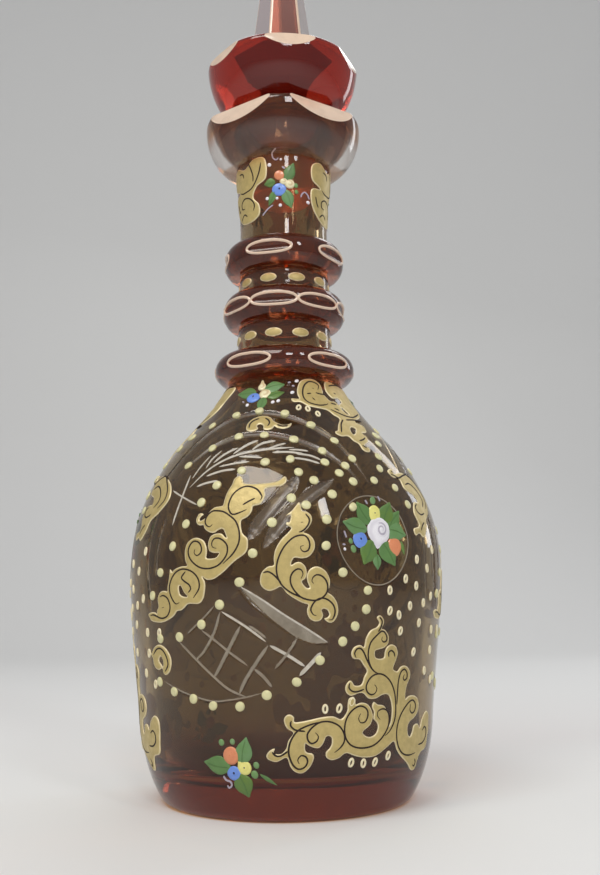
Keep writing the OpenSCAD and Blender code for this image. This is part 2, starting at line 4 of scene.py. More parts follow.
import bmesh
import bpy
import numpy as np
from bpy.props import FloatProperty, FloatVectorProperty, PointerProperty
from mathutils import Matrix, Vector


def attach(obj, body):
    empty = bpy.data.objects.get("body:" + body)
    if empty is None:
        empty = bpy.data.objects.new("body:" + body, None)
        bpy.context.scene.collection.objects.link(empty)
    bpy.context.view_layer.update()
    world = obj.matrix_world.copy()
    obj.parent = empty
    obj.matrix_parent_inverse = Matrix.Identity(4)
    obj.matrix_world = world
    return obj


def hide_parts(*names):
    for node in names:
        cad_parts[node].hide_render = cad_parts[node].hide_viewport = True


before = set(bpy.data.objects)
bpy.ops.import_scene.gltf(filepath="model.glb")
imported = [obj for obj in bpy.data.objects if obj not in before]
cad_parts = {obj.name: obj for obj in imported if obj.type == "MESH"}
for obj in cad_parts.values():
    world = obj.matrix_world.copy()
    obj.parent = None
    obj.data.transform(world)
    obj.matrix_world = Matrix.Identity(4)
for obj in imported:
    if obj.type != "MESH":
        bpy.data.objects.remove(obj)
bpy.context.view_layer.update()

bl_info = {
    "name": "Ring-necked decanter",
    "version": (1, 0, 0),
    "blender": (4, 5, 0),
    "location": "View3D > Sidebar > Decanter",
    "description": "Stained and cut glass decanter with raised gold, beads and enamel flowers",
    "category": "Add Mesh",
}

# Everything is drawn in millimetres and made metres when a piece is finished.
MM = 0.001
REPEATS = 3
MOUTH_Z = 272.6


# Outline of the glass

def bend(a, b, c, d, steps):
    """Points of a cubic curve from a to d, without a."""
    out = []
    for i in range(1, steps + 1):
        t = i / steps
        s = 1 - t
        out.append(tuple(s ** 3 * p + 3 * s * s * t * q + 3 * s * t * t * r + t ** 3 * w
                         for p, q, r, w in zip(a, b, c, d)))
    return out


# Radius and height of the outside, as curves from the foot to the throat
BENDS = [
    ((46.5, 0), (49.5, 4), (55, 14), (56, 30)),
    ((56, 30), (57, 46), (60.8, 68), (60.8, 88)),
    ((60.8, 88), (60.8, 108), (49.9, 126.3), (39, 138)),
    ((39, 138), (30.8, 146.8), (23.5, 157), (19.6, 166)),
    ((19.6, 166), (19.1, 174), (18.1, 205.4), (18.1, 225.4)),
    ((18.1, 225.4), (18.1, 234.4), (19.7, 242.4), (19.7, 252.4)),
]
OUTSIDE = [(46.5, 0.0)]
for corners in BENDS:
    OUTSIDE += bend(*corners, 60)
OUTSIDE.append((19.7, MOUTH_Z))
OUTSIDE_Z = np.array([p[1] for p in OUTSIDE])
OUTSIDE_R = np.array([p[0] for p in OUTSIDE])


def glass_radius(z):
    return float(np.interp(z, OUTSIDE_Z, OUTSIDE_R))


def lean(z):
    """How far the glass faces up at a height, in radians."""
    return math.atan2(glass_radius(z - 0.8) - glass_radius(z + 0.8), 1.6)


def on_glass(x, z, height, facing):
    """A point drawn square-on from the angle facing, laid on the glass and raised."""
    r = glass_radius(z)
    turn = math.radians(facing) + math.asin(max(-1, min(1, x / r)))
    tilt = lean(z)
    out = r + height * math.cos(tilt)
    return Vector((out * math.sin(turn), -out * math.cos(turn), z + height * math.sin(tilt)))


# The round hollows: where they face, their edge, and the ball and depth that they are ground to
ROUNDEL_AZ, ROUNDEL_Z, ROUNDEL_R = 31.5, 95.0, 18.0
ROUNDEL_BALL, ROUNDEL_DEPTH = 110.0, 3.0


def roundel_floor(across, up):
    """Height of a roundel's floor, measured square from the glass at its middle."""
    return ROUNDEL_BALL - np.sqrt(ROUNDEL_BALL ** 2 - across ** 2 - up ** 2) - ROUNDEL_DEPTH


def on_roundel(x, z, height, facing):
    """A point drawn square-on to a roundel, laid on its floor and raised."""
    up = z - ROUNDEL_Z
    return stand_on(facing, ROUNDEL_Z) @ Vector((x, up, float(roundel_floor(x, up)) + height))


def round_glass(x, z, height, facing):
    """A point drawn on paper wrapped round the glass, laid on it and raised."""
    return on_glass(0, z, height, facing + math.degrees(x / PAPER_R))


# Radius of the roll of paper that the cuts are drawn on
PAPER_R = 58.0


def stand_on(az, z, height=0.0, roll=0.0):
    """Matrix that stands a piece on the glass, its z axis pointing out and its y axis up."""
    a, tilt = math.radians(az), lean(z)
    out = Vector((math.sin(a) * math.cos(tilt), -math.cos(a) * math.cos(tilt), math.sin(tilt)))
    across = Vector((math.cos(a), math.sin(a), 0))
    up = out.cross(across)
    r = glass_radius(z)
    place = Vector((r * math.sin(a), -r * math.cos(a), z)) + out * height
    turn = Matrix((across, up, out)).transposed().to_4x4()
    return Matrix.Translation(place) @ turn @ Matrix.Rotation(math.radians(roll), 4, "Z")


# Drawing helpers

def through(points, step=0.6, closed=False):
    """A smooth line through given points, with a point about every step."""
    n = len(points)
    out = []
    for i in range(n if closed else n - 1):
        if closed:
            a, b, c, d = (points[(i + k) % n] for k in (-1, 0, 1, 2))
        else:
            a, b, c, d = (points[min(max(i + k, 0), n - 1)] for k in (-1, 0, 1, 2))
        cuts = max(1, round(math.dist(b, c) / step))
        for j in range(cuts):
            t = j / cuts
            out.append(tuple(
                0.5 * (2 * q + (r - p) * t + (2 * p - 5 * q + 4 * r - s) * t * t
                       + (3 * q - p - 3 * r + s) * t ** 3)
                for p, q, r, s in zip(a, b, c, d)))
    if not closed:
        out.append(tuple(points[-1]))
    return out


def distance_to(points, lines):
    """Shortest distance from each point to a set of line ends, as (start, end) pairs."""
    p = np.asarray(points, float)
    best = np.full(len(p), 1e9)
    for start, end in lines:
        a, b = np.asarray(start, float), np.asarray(end, float)
        ab = b - a
        t = np.clip(((p - a) @ ab) / max(float(ab @ ab), 1e-12), 0, 1)
        best = np.minimum(best, np.linalg.norm(p - (a + t[:, None] * ab), axis=1))
    return best


def loop_edges(points):
    return [(points[i], points[(i + 1) % len(points)]) for i in range(len(points))]


def repeat_round(bm, start=0):
    """Repeats what is in the mesh three times round the axis."""
    geom = [v for v in bm.verts if v.index >= start] + list(bm.edges) + list(bm.faces)
    first = geom
    for k in range(1, REPEATS):
        made = bmesh.ops.duplicate(bm, geom=first)["geom"]
        verts = [g for g in made if isinstance(g, bmesh.types.BMVert)]
        bmesh.ops.rotate(bm, verts=verts, cent=(0, 0, 0),
                         matrix=Matrix.Rotation(math.tau * k / REPEATS, 3, "Z"))


def plate(bm, outlines, laid, facing, top, foot=-0.12, grid=0.75, material=0, rounding=0.5, puff=0.0):
    """A raised plate: outlines filled, cut into a grid, given a thickness and laid on the glass."""
    flat = bmesh.new()
    edge = flat.verts.layers.float.new("edge")
    lines = []
    for outline in outlines:
        ring = [flat.verts.new((x, 0, z)) for x, z in outline]
        for i, v in enumerate(ring):
            flat.edges.new((v, ring[(i + 1) % len(ring)]))
        lines += loop_edges(outline)
    bmesh.ops.triangle_fill(flat, edges=flat.edges[:], use_beauty=True, normal=(0, -1, 0))
    xs, zs = [v.co.x for v in flat.verts], [v.co.z for v in flat.verts]
    for axis, low, high in (((1, 0, 0), min(xs), max(xs)), ((0, 0, 1), min(zs), max(zs))):
        at = low + grid * 0.5
        while at < high:
            bmesh.ops.bisect_plane(flat, geom=flat.verts[:] + flat.edges[:] + flat.faces[:],
                                   dist=0.0005, plane_co=Vector(axis) * at, plane_no=axis)
            at += grid
    bmesh.ops.remove_doubles(flat, verts=flat.verts[:], dist=0.02)
    grown = bmesh.ops.extrude_face_region(flat, geom=flat.faces[:], use_keep_orig=True)["geom"]
    upper = {v for v in grown if isinstance(v, bmesh.types.BMVert)}
    flat.verts.index_update()
    places = [(v.co.x, v.co.z) for v in flat.verts]
    inward = distance_to(places, lines)
    for v, d in zip(flat.verts, inward):
        near = min(d / rounding, 1)
        height = foot
        if v in upper:
            height = top * (0.35 + 0.65 * math.sqrt(1 - (1 - near) ** 2)) + puff * min(d / 2, 1)
        v[edge] = min(d, 3)
        v.co = laid(v.co.x, v.co.z, height, facing)
    for f in flat.faces:
        f.material_index = material
        f.smooth = True
    pour(flat, bm)


def stroke(bm, points, width, laid, facing, top, foot=0.05, material=1, taper=0.35, step=0.7):
    """A raised line through points, as wide as width and tapered at its ends."""
    path = through(points, step)
    flat = bmesh.new()
    edge = flat.verts.layers.float.new("edge")
    chain = [flat.verts.new((x, 0, z)) for x, z in path]
    edges = [flat.edges.new(pair) for pair in zip(chain, chain[1:])]
    made = bmesh.ops.extrude_edge_only(flat, edges=edges)["geom"]
    far = [v for v in made if isinstance(v, bmesh.types.BMVert)]
    partner = {}
    for v in far:
        for e in v.link_edges:
            other = e.other_vert(v)
            if other in set(chain) and (other.co - v.co).length < 1e-9:
                partner[other] = v
    for i, v in enumerate(chain):
        here = path[i]
        ahead = path[min(i + 1, len(path) - 1)]
        behind = path[max(i - 1, 0)]
        way = Vector((ahead[0] - behind[0], 0, ahead[1] - behind[1])).normalized()
        side = Vector((-way.z, 0, way.x))
        along = min(i, len(path) - 1 - i) / max(1, len(path) - 1) * 2
        half = width / 2 * min(1, taper + along * 3)
        centre = Vector((here[0], 0, here[1]))
        v.co = centre + side * half
        partner[v].co = centre - side * half
    grown = bmesh.ops.extrude_face_region(flat, geom=flat.faces[:], use_keep_orig=True)["geom"]
    upper = {v for v in grown if isinstance(v, bmesh.types.BMVert)}
    for v in flat.verts:
        v[edge] = 0.0
        v.co = laid(v.co.x, v.co.z, top if v in upper else foot, facing)
    for f in flat.faces:
        f.material_index = material
        f.smooth = True
    pour(flat, bm)


def pour(part, whole):
    """Adds one mesh to another."""
    mesh = bpy.data.meshes.new("part")
    bmesh.ops.recalc_face_normals(part, faces=part.faces[:])
    part.to_mesh(mesh)
    part.free()
    whole.from_mesh(mesh)
    bpy.data.meshes.remove(mesh)


def spun(profile, steps, bm=None):
    """A closed outline of radius and height, turned once round the axis."""
    bm = bm or bmesh.new()
    chain = [bm.verts.new((r, 0, z)) for r, z in profile]
    edges = [bm.edges.new(pair) for pair in zip(chain, chain[1:])]
    if profile[0][0] > 1e-6:
        edges.append(bm.edges.new((chain[-1], chain[0])))
    bmesh.ops.spin(bm, geom=chain + edges, cent=(0, 0, 0), axis=(0, 0, 1), angle=math.tau,
                   steps=steps, use_merge=True)
    bmesh.ops.remove_doubles(bm, verts=bm.verts[:], dist=1e-4)
    return bm


def finish_piece(name, bm, materials, body, nodes, sharp=None):
    bmesh.ops.recalc_face_normals(bm, faces=bm.faces[:])
    bmesh.ops.scale(bm, vec=(MM, MM, MM), verts=bm.verts[:])
    mesh = bpy.data.meshes.new(name)
    bm.to_mesh(mesh)
    bm.free()
    for m in materials:
        mesh.materials.append(m)
    mesh.shade_smooth()
    if sharp is not None:
        mesh.set_sharp_from_angle(angle=math.radians(sharp))
    piece = bpy.data.objects.new(name, mesh)
    bpy.context.scene.collection.objects.link(piece)
    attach(piece, body)
    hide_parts(*nodes)
    return piece


# Finishes

def node(tree, kind, place=(0, 0), **values):
    made = tree.nodes.new(kind)
    made.location = place
    for key, value in values.items():
        if hasattr(made, key):
            setattr(made, key, value)
        else:
            made.inputs[key.replace("_", " ")].default_value = value
    return made


def new_group(name, ins, outs):
    tree = bpy.data.node_groups.new(name, "ShaderNodeTree")
    for label, kind, value in ins:
        socket = tree.interface.new_socket(label, in_out="INPUT", socket_type=kind)
        socket.default_value = value
    for label, kind in outs:
        tree.interface.new_socket(label, in_out="OUTPUT", socket_type=kind)
    return tree, node(tree, "NodeGroupInput", (-900, 0)), node(tree, "NodeGroupOutput", (600, 0))


def uneven_group():
    """Cloudy unevenness of a fired surface: a mask and a height that change over the surface."""
    name = "Fired unevenness"
    if name in bpy.data.node_groups:
        return bpy.data.node_groups[name]
    tree, start, end = new_group(
        name,
        [("Size", "NodeSocketFloat", 300.0), ("Contrast", "NodeSocketFloat", 0.5)],
        [("Mask", "NodeSocketFloat"), ("Height", "NodeSocketFloat")])
    where = node(tree, "ShaderNodeTexCoord", (-900, -300))
    cloud = node(tree, "ShaderNodeTexNoise", (-600, 0), Detail=4.0, Roughness=0.6)
    fine = node(tree, "ShaderNodeTexNoise", (-600, -300), Detail=2.0, Roughness=0.5)
    larger = node(tree, "ShaderNodeMath", (-750, -200), operation="MULTIPLY")
    larger.inputs[1].default_value = 4.0
    spread = node(tree, "ShaderNodeMapRange", (-300, 0))
    spread.inputs["From Min"].default_value = 0.3
    spread.inputs["From Max"].default_value = 0.7
    scaled = node(tree, "ShaderNodeMath", (0, 0), operation="MULTIPLY")
    both = node(tree, "ShaderNodeMath", (0, -300), operation="ADD")
    link = tree.links.new
    link(where.outputs["Object"], cloud.inputs["Vector"])
    link(where.outputs["Object"], fine.inputs["Vector"])
    link(start.outputs["Size"], cloud.inputs["Scale"])
    link(start.outputs["Size"], larger.inputs[0])
    link(larger.outputs[0], fine.inputs["Scale"])
    link(cloud.outputs["Fac"], spread.inputs["Value"])
    link(spread.outputs["Result"], scaled.inputs[0])
    link(start.outputs["Contrast"], scaled.inputs[1])
    link(cloud.outputs["Fac"], both.inputs[0])
    link(fine.outputs["Fac"], both.inputs[1])
    link(scaled.outputs[0], end.inputs["Mask"])
    link(both.outputs[0], end.inputs["Height"])
    return tree


def empty_material(name):
    material = bpy.data.materials.new(name)
    material.use_nodes = True
    tree = material.node_tree
    tree.nodes.clear()
    out = node(tree, "ShaderNodeOutputMaterial", (900, 0))
    shader = node(tree, "ShaderNodeBsdfPrincipled", (300, 0))
    tree.links.new(shader.outputs[0], out.inputs["Surface"])
    return material, tree, shader, out


def two_colours(tree, mask, first, second, place=(0, 0)):
    mix = node(tree, "ShaderNodeMix", place, data_type="RGBA")
    mix.inputs[0].default_value = 0.5
    tree.links.new(mask, mix.inputs[0])
    for socket, value in ((mix.inputs[6], first), (mix.inputs[7], second)):
        if isinstance(value, bpy.types.NodeSocket):
            tree.links.new(value, socket)
        else:
            socket.default_value = (*value[:3], 1)
    return mix.outputs[2]


def glass_finish(name, by_height, roughness=0.03, shade=(0.8, 0.62, 0.4), bump=0.05,
                 cut_colour=(0.8, 0.75, 0.68), clear=0.95):
    """Stained glass: its tint goes by height, clouds a little, and is ground away in the cuts."""
    if name in bpy.data.materials:
        return bpy.data.materials[name]
    material, tree, shader, out = empty_material(name)
    link = tree.links.new
    where = node(tree, "ShaderNodeTexCoord", (-1200, 0))
    split = node(tree, "ShaderNodeSeparateXYZ", (-1000, 0))
    low, high = by_height[0][0] * MM, by_height[-1][0] * MM
    share = node(tree, "ShaderNodeMapRange", (-800, 0))
    share.inputs["From Min"].default_value = low
    share.inputs["From Max"].default_value = high
    ramp = node(tree, "ShaderNodeValToRGB", (-600, 0))
    stops = ramp.color_ramp.elements
    stops[0].position, stops[0].color = 0.0, (*by_height[0][1], 1)
    stops[1].position, stops[1].color = 1.0, (*by_height[-1][1], 1)
    for z, colour in by_height[1:-1]:
        stop = stops.new((z * MM - low) / (high - low))
        stop.color = (*colour, 1)
    uneven = node(tree, "ShaderNodeGroup", (-600, -300), node_tree=uneven_group())
    uneven.inputs["Size"].default_value = 28.0
    uneven.inputs["Contrast"].default_value = 0.35
    darker = node(tree, "ShaderNodeMix", (-300, -100), data_type="RGBA", blend_type="MULTIPLY")
    darker.inputs[7].default_value = (0.62, 0.5, 0.4, 1)
    cut = node(tree, "ShaderNodeAttribute", (-600, -600), attribute_name="cut")
    link(where.outputs["Object"], split.inputs[0])
    link(split.outputs["Z"], share.inputs["Value"])
    link(share.outputs["Result"], ramp.inputs[0])
    link(uneven.outputs["Mask"], darker.inputs[0])
    link(ramp.outputs["Color"], darker.inputs[6])
    link(two_colours(tree, cut.outputs["Fac"], darker.outputs[2], cut_colour, (0, 0)),
         shader.inputs["Base Color"])
    rough = node(tree, "ShaderNodeMapRange", (-300, -500))
    rough.inputs["To Min"].default_value = roughness
    rough.inputs["To Max"].default_value = 0.28
    link(cut.outputs["Fac"], rough.inputs["Value"])
    link(rough.outputs["Result"], shader.inputs["Roughness"])
    wave = node(tree, "ShaderNodeBump", (0, -500), Strength=bump, Distance=0.001)
    link(uneven.outputs["Height"], wave.inputs["Height"])
    link(wave.outputs["Normal"], shader.inputs["Normal"])
    shader.inputs["Transmission Weight"].default_value = clear
    shader.inputs["IOR"].default_value = 1.5
    let_through = node(tree, "ShaderNodeBsdfTransparent", (300, 300))
    let_through.inputs[0].default_value = (*shade, 1)
    path = node(tree, "ShaderNodeLightPath", (300, 600))
    mix = node(tree, "ShaderNodeMixShader", (650, 100))
    link(path.outputs["Is Shadow Ray"], mix.inputs[0])
    link(shader.outputs[0], mix.inputs[1])
    link(let_through.outputs[0], mix.inputs[2])
    link(mix.outputs[0], out.inputs["Surface"])
    return material


def fired_finish(name, first, second, roughness=0.4, metallic=0.0, rim=None, rim_width=0.55,
                 size=300.0, bump=0.25, coat=0.0):
    """Paste gold or enamel: two tones in clouds, with a paler rim where it is given; on the gold this rim is partly
    the raised paste's own paler edge and partly painted highlight.
    """
    if name in bpy.data.materials:
        return bpy.data.materials[name]
    material, tree, shader, out = empty_material(name)
    link = tree.links.new
    uneven = node(tree, "ShaderNodeGroup", (-600, 0), node_tree=uneven_group())
    uneven.inputs["Size"].default_value = size
    uneven.inputs["Contrast"].default_value = 1.0
    colour = two_colours(tree, uneven.outputs["Mask"], first, second, (-300, 0))
    if rim is not None:
        edge = node(tree, "ShaderNodeAttribute", (-600, 300), attribute_name="edge")
        near = node(tree, "ShaderNodeMapRange", (-300, 300), interpolation_type="SMOOTHSTEP")
        near.inputs["From Min"].default_value = 0.0
        near.inputs["From Max"].default_value = rim_width
        near.inputs["To Min"].default_value = 1.0
        near.inputs["To Max"].default_value = 0.0
        link(edge.outputs["Fac"], near.inputs["Value"])
        colour = two_colours(tree, near.outputs["Result"], colour, rim, (0, 100))
    link(colour, shader.inputs["Base Color"])
    rough = node(tree, "ShaderNodeMapRange", (-300, -300))
    rough.inputs["To Min"].default_value = max(0.0, roughness - 0.08)
    rough.inputs["To Max"].default_value = roughness + 0.12
    link(uneven.outputs["Mask"], rough.inputs["Value"])
    link(rough.outputs["Result"], shader.inputs["Roughness"])
    wave = node(tree, "ShaderNodeBump", (0, -400), Strength=bump, Distance=0.0002)
    link(uneven.outputs["Height"], wave.inputs["Height"])
    link(wave.outputs["Normal"], shader.inputs["Normal"])
    shader.inputs["Metallic"].default_value = metallic
    shader.inputs["Coat Weight"].default_value = coat
    return material


def colours():
    return bpy.context.scene.decanter_colours


def sizes():
    return bpy.context.scene.decanter_sizes


def body_glass():
    c = colours()
    base, body, neck = tuple(c.base), tuple(c.body), tuple(c.neck)
    return glass_finish("Stained body glass", [
        (0, base), (13, base), (20, tuple(0.5 * a + 0.5 * b for a, b in zip(base, body))),
        (32, body), (140, body), (168, neck), (262, neck)])


def gold_paste():
    c = colours()
    # The cream rim along the gold's edges is partly the raised paste's paler edge and partly a painted highlight.
    return fired_finish("Paste gold", tuple(c.gold), tuple(v * 0.8 for v in c.gold), 0.42,
                        0.25, tuple(c.rim), 0.6, 420.0, 0.3)


def contour_line():
    c = colours()
    return fired_finish("Contour line", tuple(c.line), tuple(v * 0.5 for v in c.line), 0.75)


# Cuts in the body glass

def on_body(az, z):
    r = glass_radius(z)
    a = math.radians(az)
    return (r * math.sin(a), -r * math.cos(a), z)


def off_paper(points):
    """Angles and heights as places on the paper wrapped round the glass."""
    return [(math.radians(az) * PAPER_R, z) for az, z in points]


OUTER_GROOVE = [(-60, 116), (-50, 131), (-40, 138.5), (-29, 142), (-14, 143), (1, 141), (14, 137),
                (24, 131), (30, 122), (33, 115)]
INNER_GROOVE = [(-44, 123), (-35, 129.5), (-23, 133), (-10, 133.4), (4, 131), (16, 126.5),
                (24.5, 120.5), (29, 115)]

# The cuts: points as angle and height, half width, depth, share of the width that is left ground,
# and whether its ground strip gets painted shine, a paler finish standing for light caught by the cut
CUTS = [
    (OUTER_GROOVE, 1.5, 0.9, 0, 0),
    (INNER_GROOVE, 1.4, 0.8, 0, 0),
    # Stem of the fern
    ([(-38.5, 114), (-32.9, 119.5), (-27.1, 123), (-19.7, 125.4), (-11.5, 126.6), (-3.3, 127.3),
      (3.9, 127.6)], 0.5, 0.35, 0.7, 1),
    # Leaflets above the stem
    ([(-38.8, 117.5), (-36.8, 121.7), (-33.8, 126)], 0.5, 0.35, 0.55, 1),
    ([(-33.6, 121), (-32.1, 124.4), (-28.9, 127.5)], 0.5, 0.35, 0.6, 1),
    ([(-30.7, 122.8), (-26.5, 126), (-21.2, 128.1)], 0.5, 0.35, 0.8, 1),
    ([(-22.5, 125.8), (-17.3, 129), (-12.4, 130.8)], 0.5, 0.35, 0.8, 1),
    ([(-14.4, 127), (-10.3, 129.4), (-4.3, 130.4)], 0.5, 0.35, 0.8, 1),
    ([(-7.7, 127), (-3.4, 128.5), (0.3, 129.3)], 0.5, 0.35, 0.7, 1),
    ([(1.6, 126.7), (5.4, 126.7), (9.8, 126.2)], 0.5, 0.35, 0.6, 1),
    # Leaflets below the stem
    ([(-27.2, 121.1), (-20.9, 121.9), (-14.5, 122.4)], 0.5, 0.35, 0.6, 1),
    ([(-31.9, 117.8), (-25.7, 119.3), (-19.8, 119.7)], 0.5, 0.35, 0.75, 1),
    ([(-35, 114.1), (-31.2, 115.1), (-26.2, 115.7)], 0.5, 0.35, 0.75, 1),
    ([(-19.5, 124.6), (-14.3, 124.2), (-9.4, 123.7)], 0.5, 0.35, 0.6, 1),
    ([(-5.4, 125.7), (1.6, 125.8), (8, 125)], 0.5, 0.35, 0.7, 1),
    ([(4.7, 125.1), (10.5, 124.4), (14.6, 122.8)], 0.5, 0.35, 0.7, 1),
    ([(3.1, 123.5), (8.7, 122.8), (13.8, 121.4)], 0.5, 0.35, 0.7, 1),
    # Crossed strokes at the foot of the fern
    ([(-40.5, 118.8), (-40.9, 111.4), (-42.5, 100.5)], 0.5, 0.35, 0.75, 1),
    ([(-47.7, 113.6), (-39.8, 110.3), (-32.8, 107.3)], 0.5, 0.35, 0.55, 1),
    # Broad bent cuts in the middle
    ([(4.1, 115.6), (-0.1, 110.7), (-4.5, 105.3), (-8.6, 100), (-11.8, 94.8)], 2.6, 1.1, 0, 0),
    ([(17.5, 115), (10.7, 110.8), (3.7, 105.3), (-2.7, 98.2), (-6.8, 91.7)], 2.4, 1.1, 0, 0),
    # The long blade and the bars of the lattice
    ([(-14.7, 78), (-6.5, 71.3), (2.5, 64.4), (13.4, 59.7)], 2.0, 1.1, 0, 0),
    ([(-21.4, 70.3), (-15.1, 66.5), (-10.8, 63.5), (-6.7, 60.3)], 0.6, 0.45, 0.6, 1),
    ([(-5.4, 59), (0, 56), (6, 52.1)], 0.7, 0.5, 0.7, 1),
    ([(-12.2, 65.6), (-9.6, 63.9), (-6.7, 61.6)], 0.5, 0.4, 0.7, 0),
    ([(-29.1, 64.1), (-23.6, 60.3), (-18.8, 56.6), (-13, 52.5)], 0.6, 0.45, 0.6, 0),
    ([(-10.7, 51.3), (-7.7, 48.8), (-5, 45.5)], 0.7, 0.5, 0.7, 0),
    ([(-39.2, 60.4), (-32.1, 54.4), (-25.1, 48.5), (-19.7, 44.5), (-13.3, 42)], 0.6, 0.45, 0.6, 0),
    ([(-48.1, 46.3), (-40.3, 43.6), (-31.5, 41.4), (-25.5, 40.5), (-20.3, 41), (-14.1, 42),
      (-7.8, 43.6)], 0.5, 0.35, 0.45, 0),
    ([(-24, 72.2), (-28, 68.3), (-34.9, 62.9)], 0.5, 0.35, 0.5, 0),
    ([(-15.1, 65.4), (-18.7, 58.9), (-23.2, 51.2), (-25.1, 48.5)], 0.9, 0.6, 0.6, 0),
    ([(-6, 59), (-9.5, 54.1), (-13.9, 47.6), (-16.1, 43.1)], 0.9, 0.6, 0.6, 0),
    ([(3.4, 61.3), (0, 56), (-3.8, 51.5)], 0.8, 0.55, 0.5, 0),
    ([(-22, 70), (-24.5, 63), (-29, 56.5), (-32.1, 54.4)], 0.8, 0.5, 0.5, 0),
    ([(11.3, 56.5), (7.9, 52.8), (4.3, 49.1)], 0.9, 0.55, 0.7, 1),
    # Upright bars on the left shoulder
    ([(-52, 112), (-54.5, 98), (-55, 84), (-53, 70)], 0.8, 0.5, 0, 0),
    ([(-47, 104), (-49, 93), (-49.5, 82)], 0.6, 0.45, 0, 0),
]

# The blade's ground face, and its upper edge, painted bright as a highlight
BLADE = [(-14.7, 78.3), (-7.6, 73.7), (-0.7, 68.8), (6.3, 64.3), (13.4, 59.7), (8.6, 59.4), (3.4, 61.3),
         (-4.7, 67.7), (-10.9, 73.7)]
BLADE_EDGE = [(-14.7, 78.5), (-7.6, 74), (-0.7, 69.1), (6.3, 64.6), (13.4, 59.9)]


def roundel_rim():
    """Where a roundel's floor meets the round of the glass, as points drawn square-on to it."""
    stand = stand_on(ROUNDEL_AZ, ROUNDEL_Z)
    rim = []
    for angle in np.linspace(0, 2 * math.pi, 61):
        for reach in np.arange(6.0, ROUNDEL_R + 0.1, 0.1):
            across, up = reach * math.cos(angle), reach * math.sin(angle)
            at = stand @ Vector((across, up, float(roundel_floor(across, up))))
            if math.hypot(at.x, at.y) > glass_radius(at.z) - 0.05:
                break
        rim.append((across, up + ROUNDEL_Z))
    return rim


def ground_marks():
    """Ground glass along the middle of the cuts, on the blade's face and upper edge and round the roundels' rims,
    three times round.
    """
    bm = bmesh.new()
    bm.verts.layers.float.new("edge")
    for points, half, depth, share, painted_shine in CUTS:
        if share:
            # Cuts marked for shine get the paler ground finish, a painted highlight where the cut catches the light;
            # the rest get the darker one.
            stroke(bm, off_paper(points), 2 * half * share, round_glass, 0, 0.015, -0.3 * depth,
                   1 if painted_shine else 2, 0.15, 0.9)
    plate(bm, [off_paper(BLADE)], round_glass, 0, -0.12, -0.45, 1.2, 2, 0.3)
    # The blade's upper edge: a strip of the paler ground finish, a painted highlight.
    stroke(bm, off_paper(BLADE_EDGE), 0.6, round_glass, 0, 0.03, -0.2, 1, 0.3, 0.9)
    # A thin line of the darker ground finish round each roundel's rim: a painted edge line standing in for the shade
    # and glint that the rim shows.
    stroke(bm, roundel_rim(), 0.4, on_roundel, ROUNDEL_AZ, 0.05, -0.3, 2, 1, 0.9)
    repeat_round(bm)
    return bm


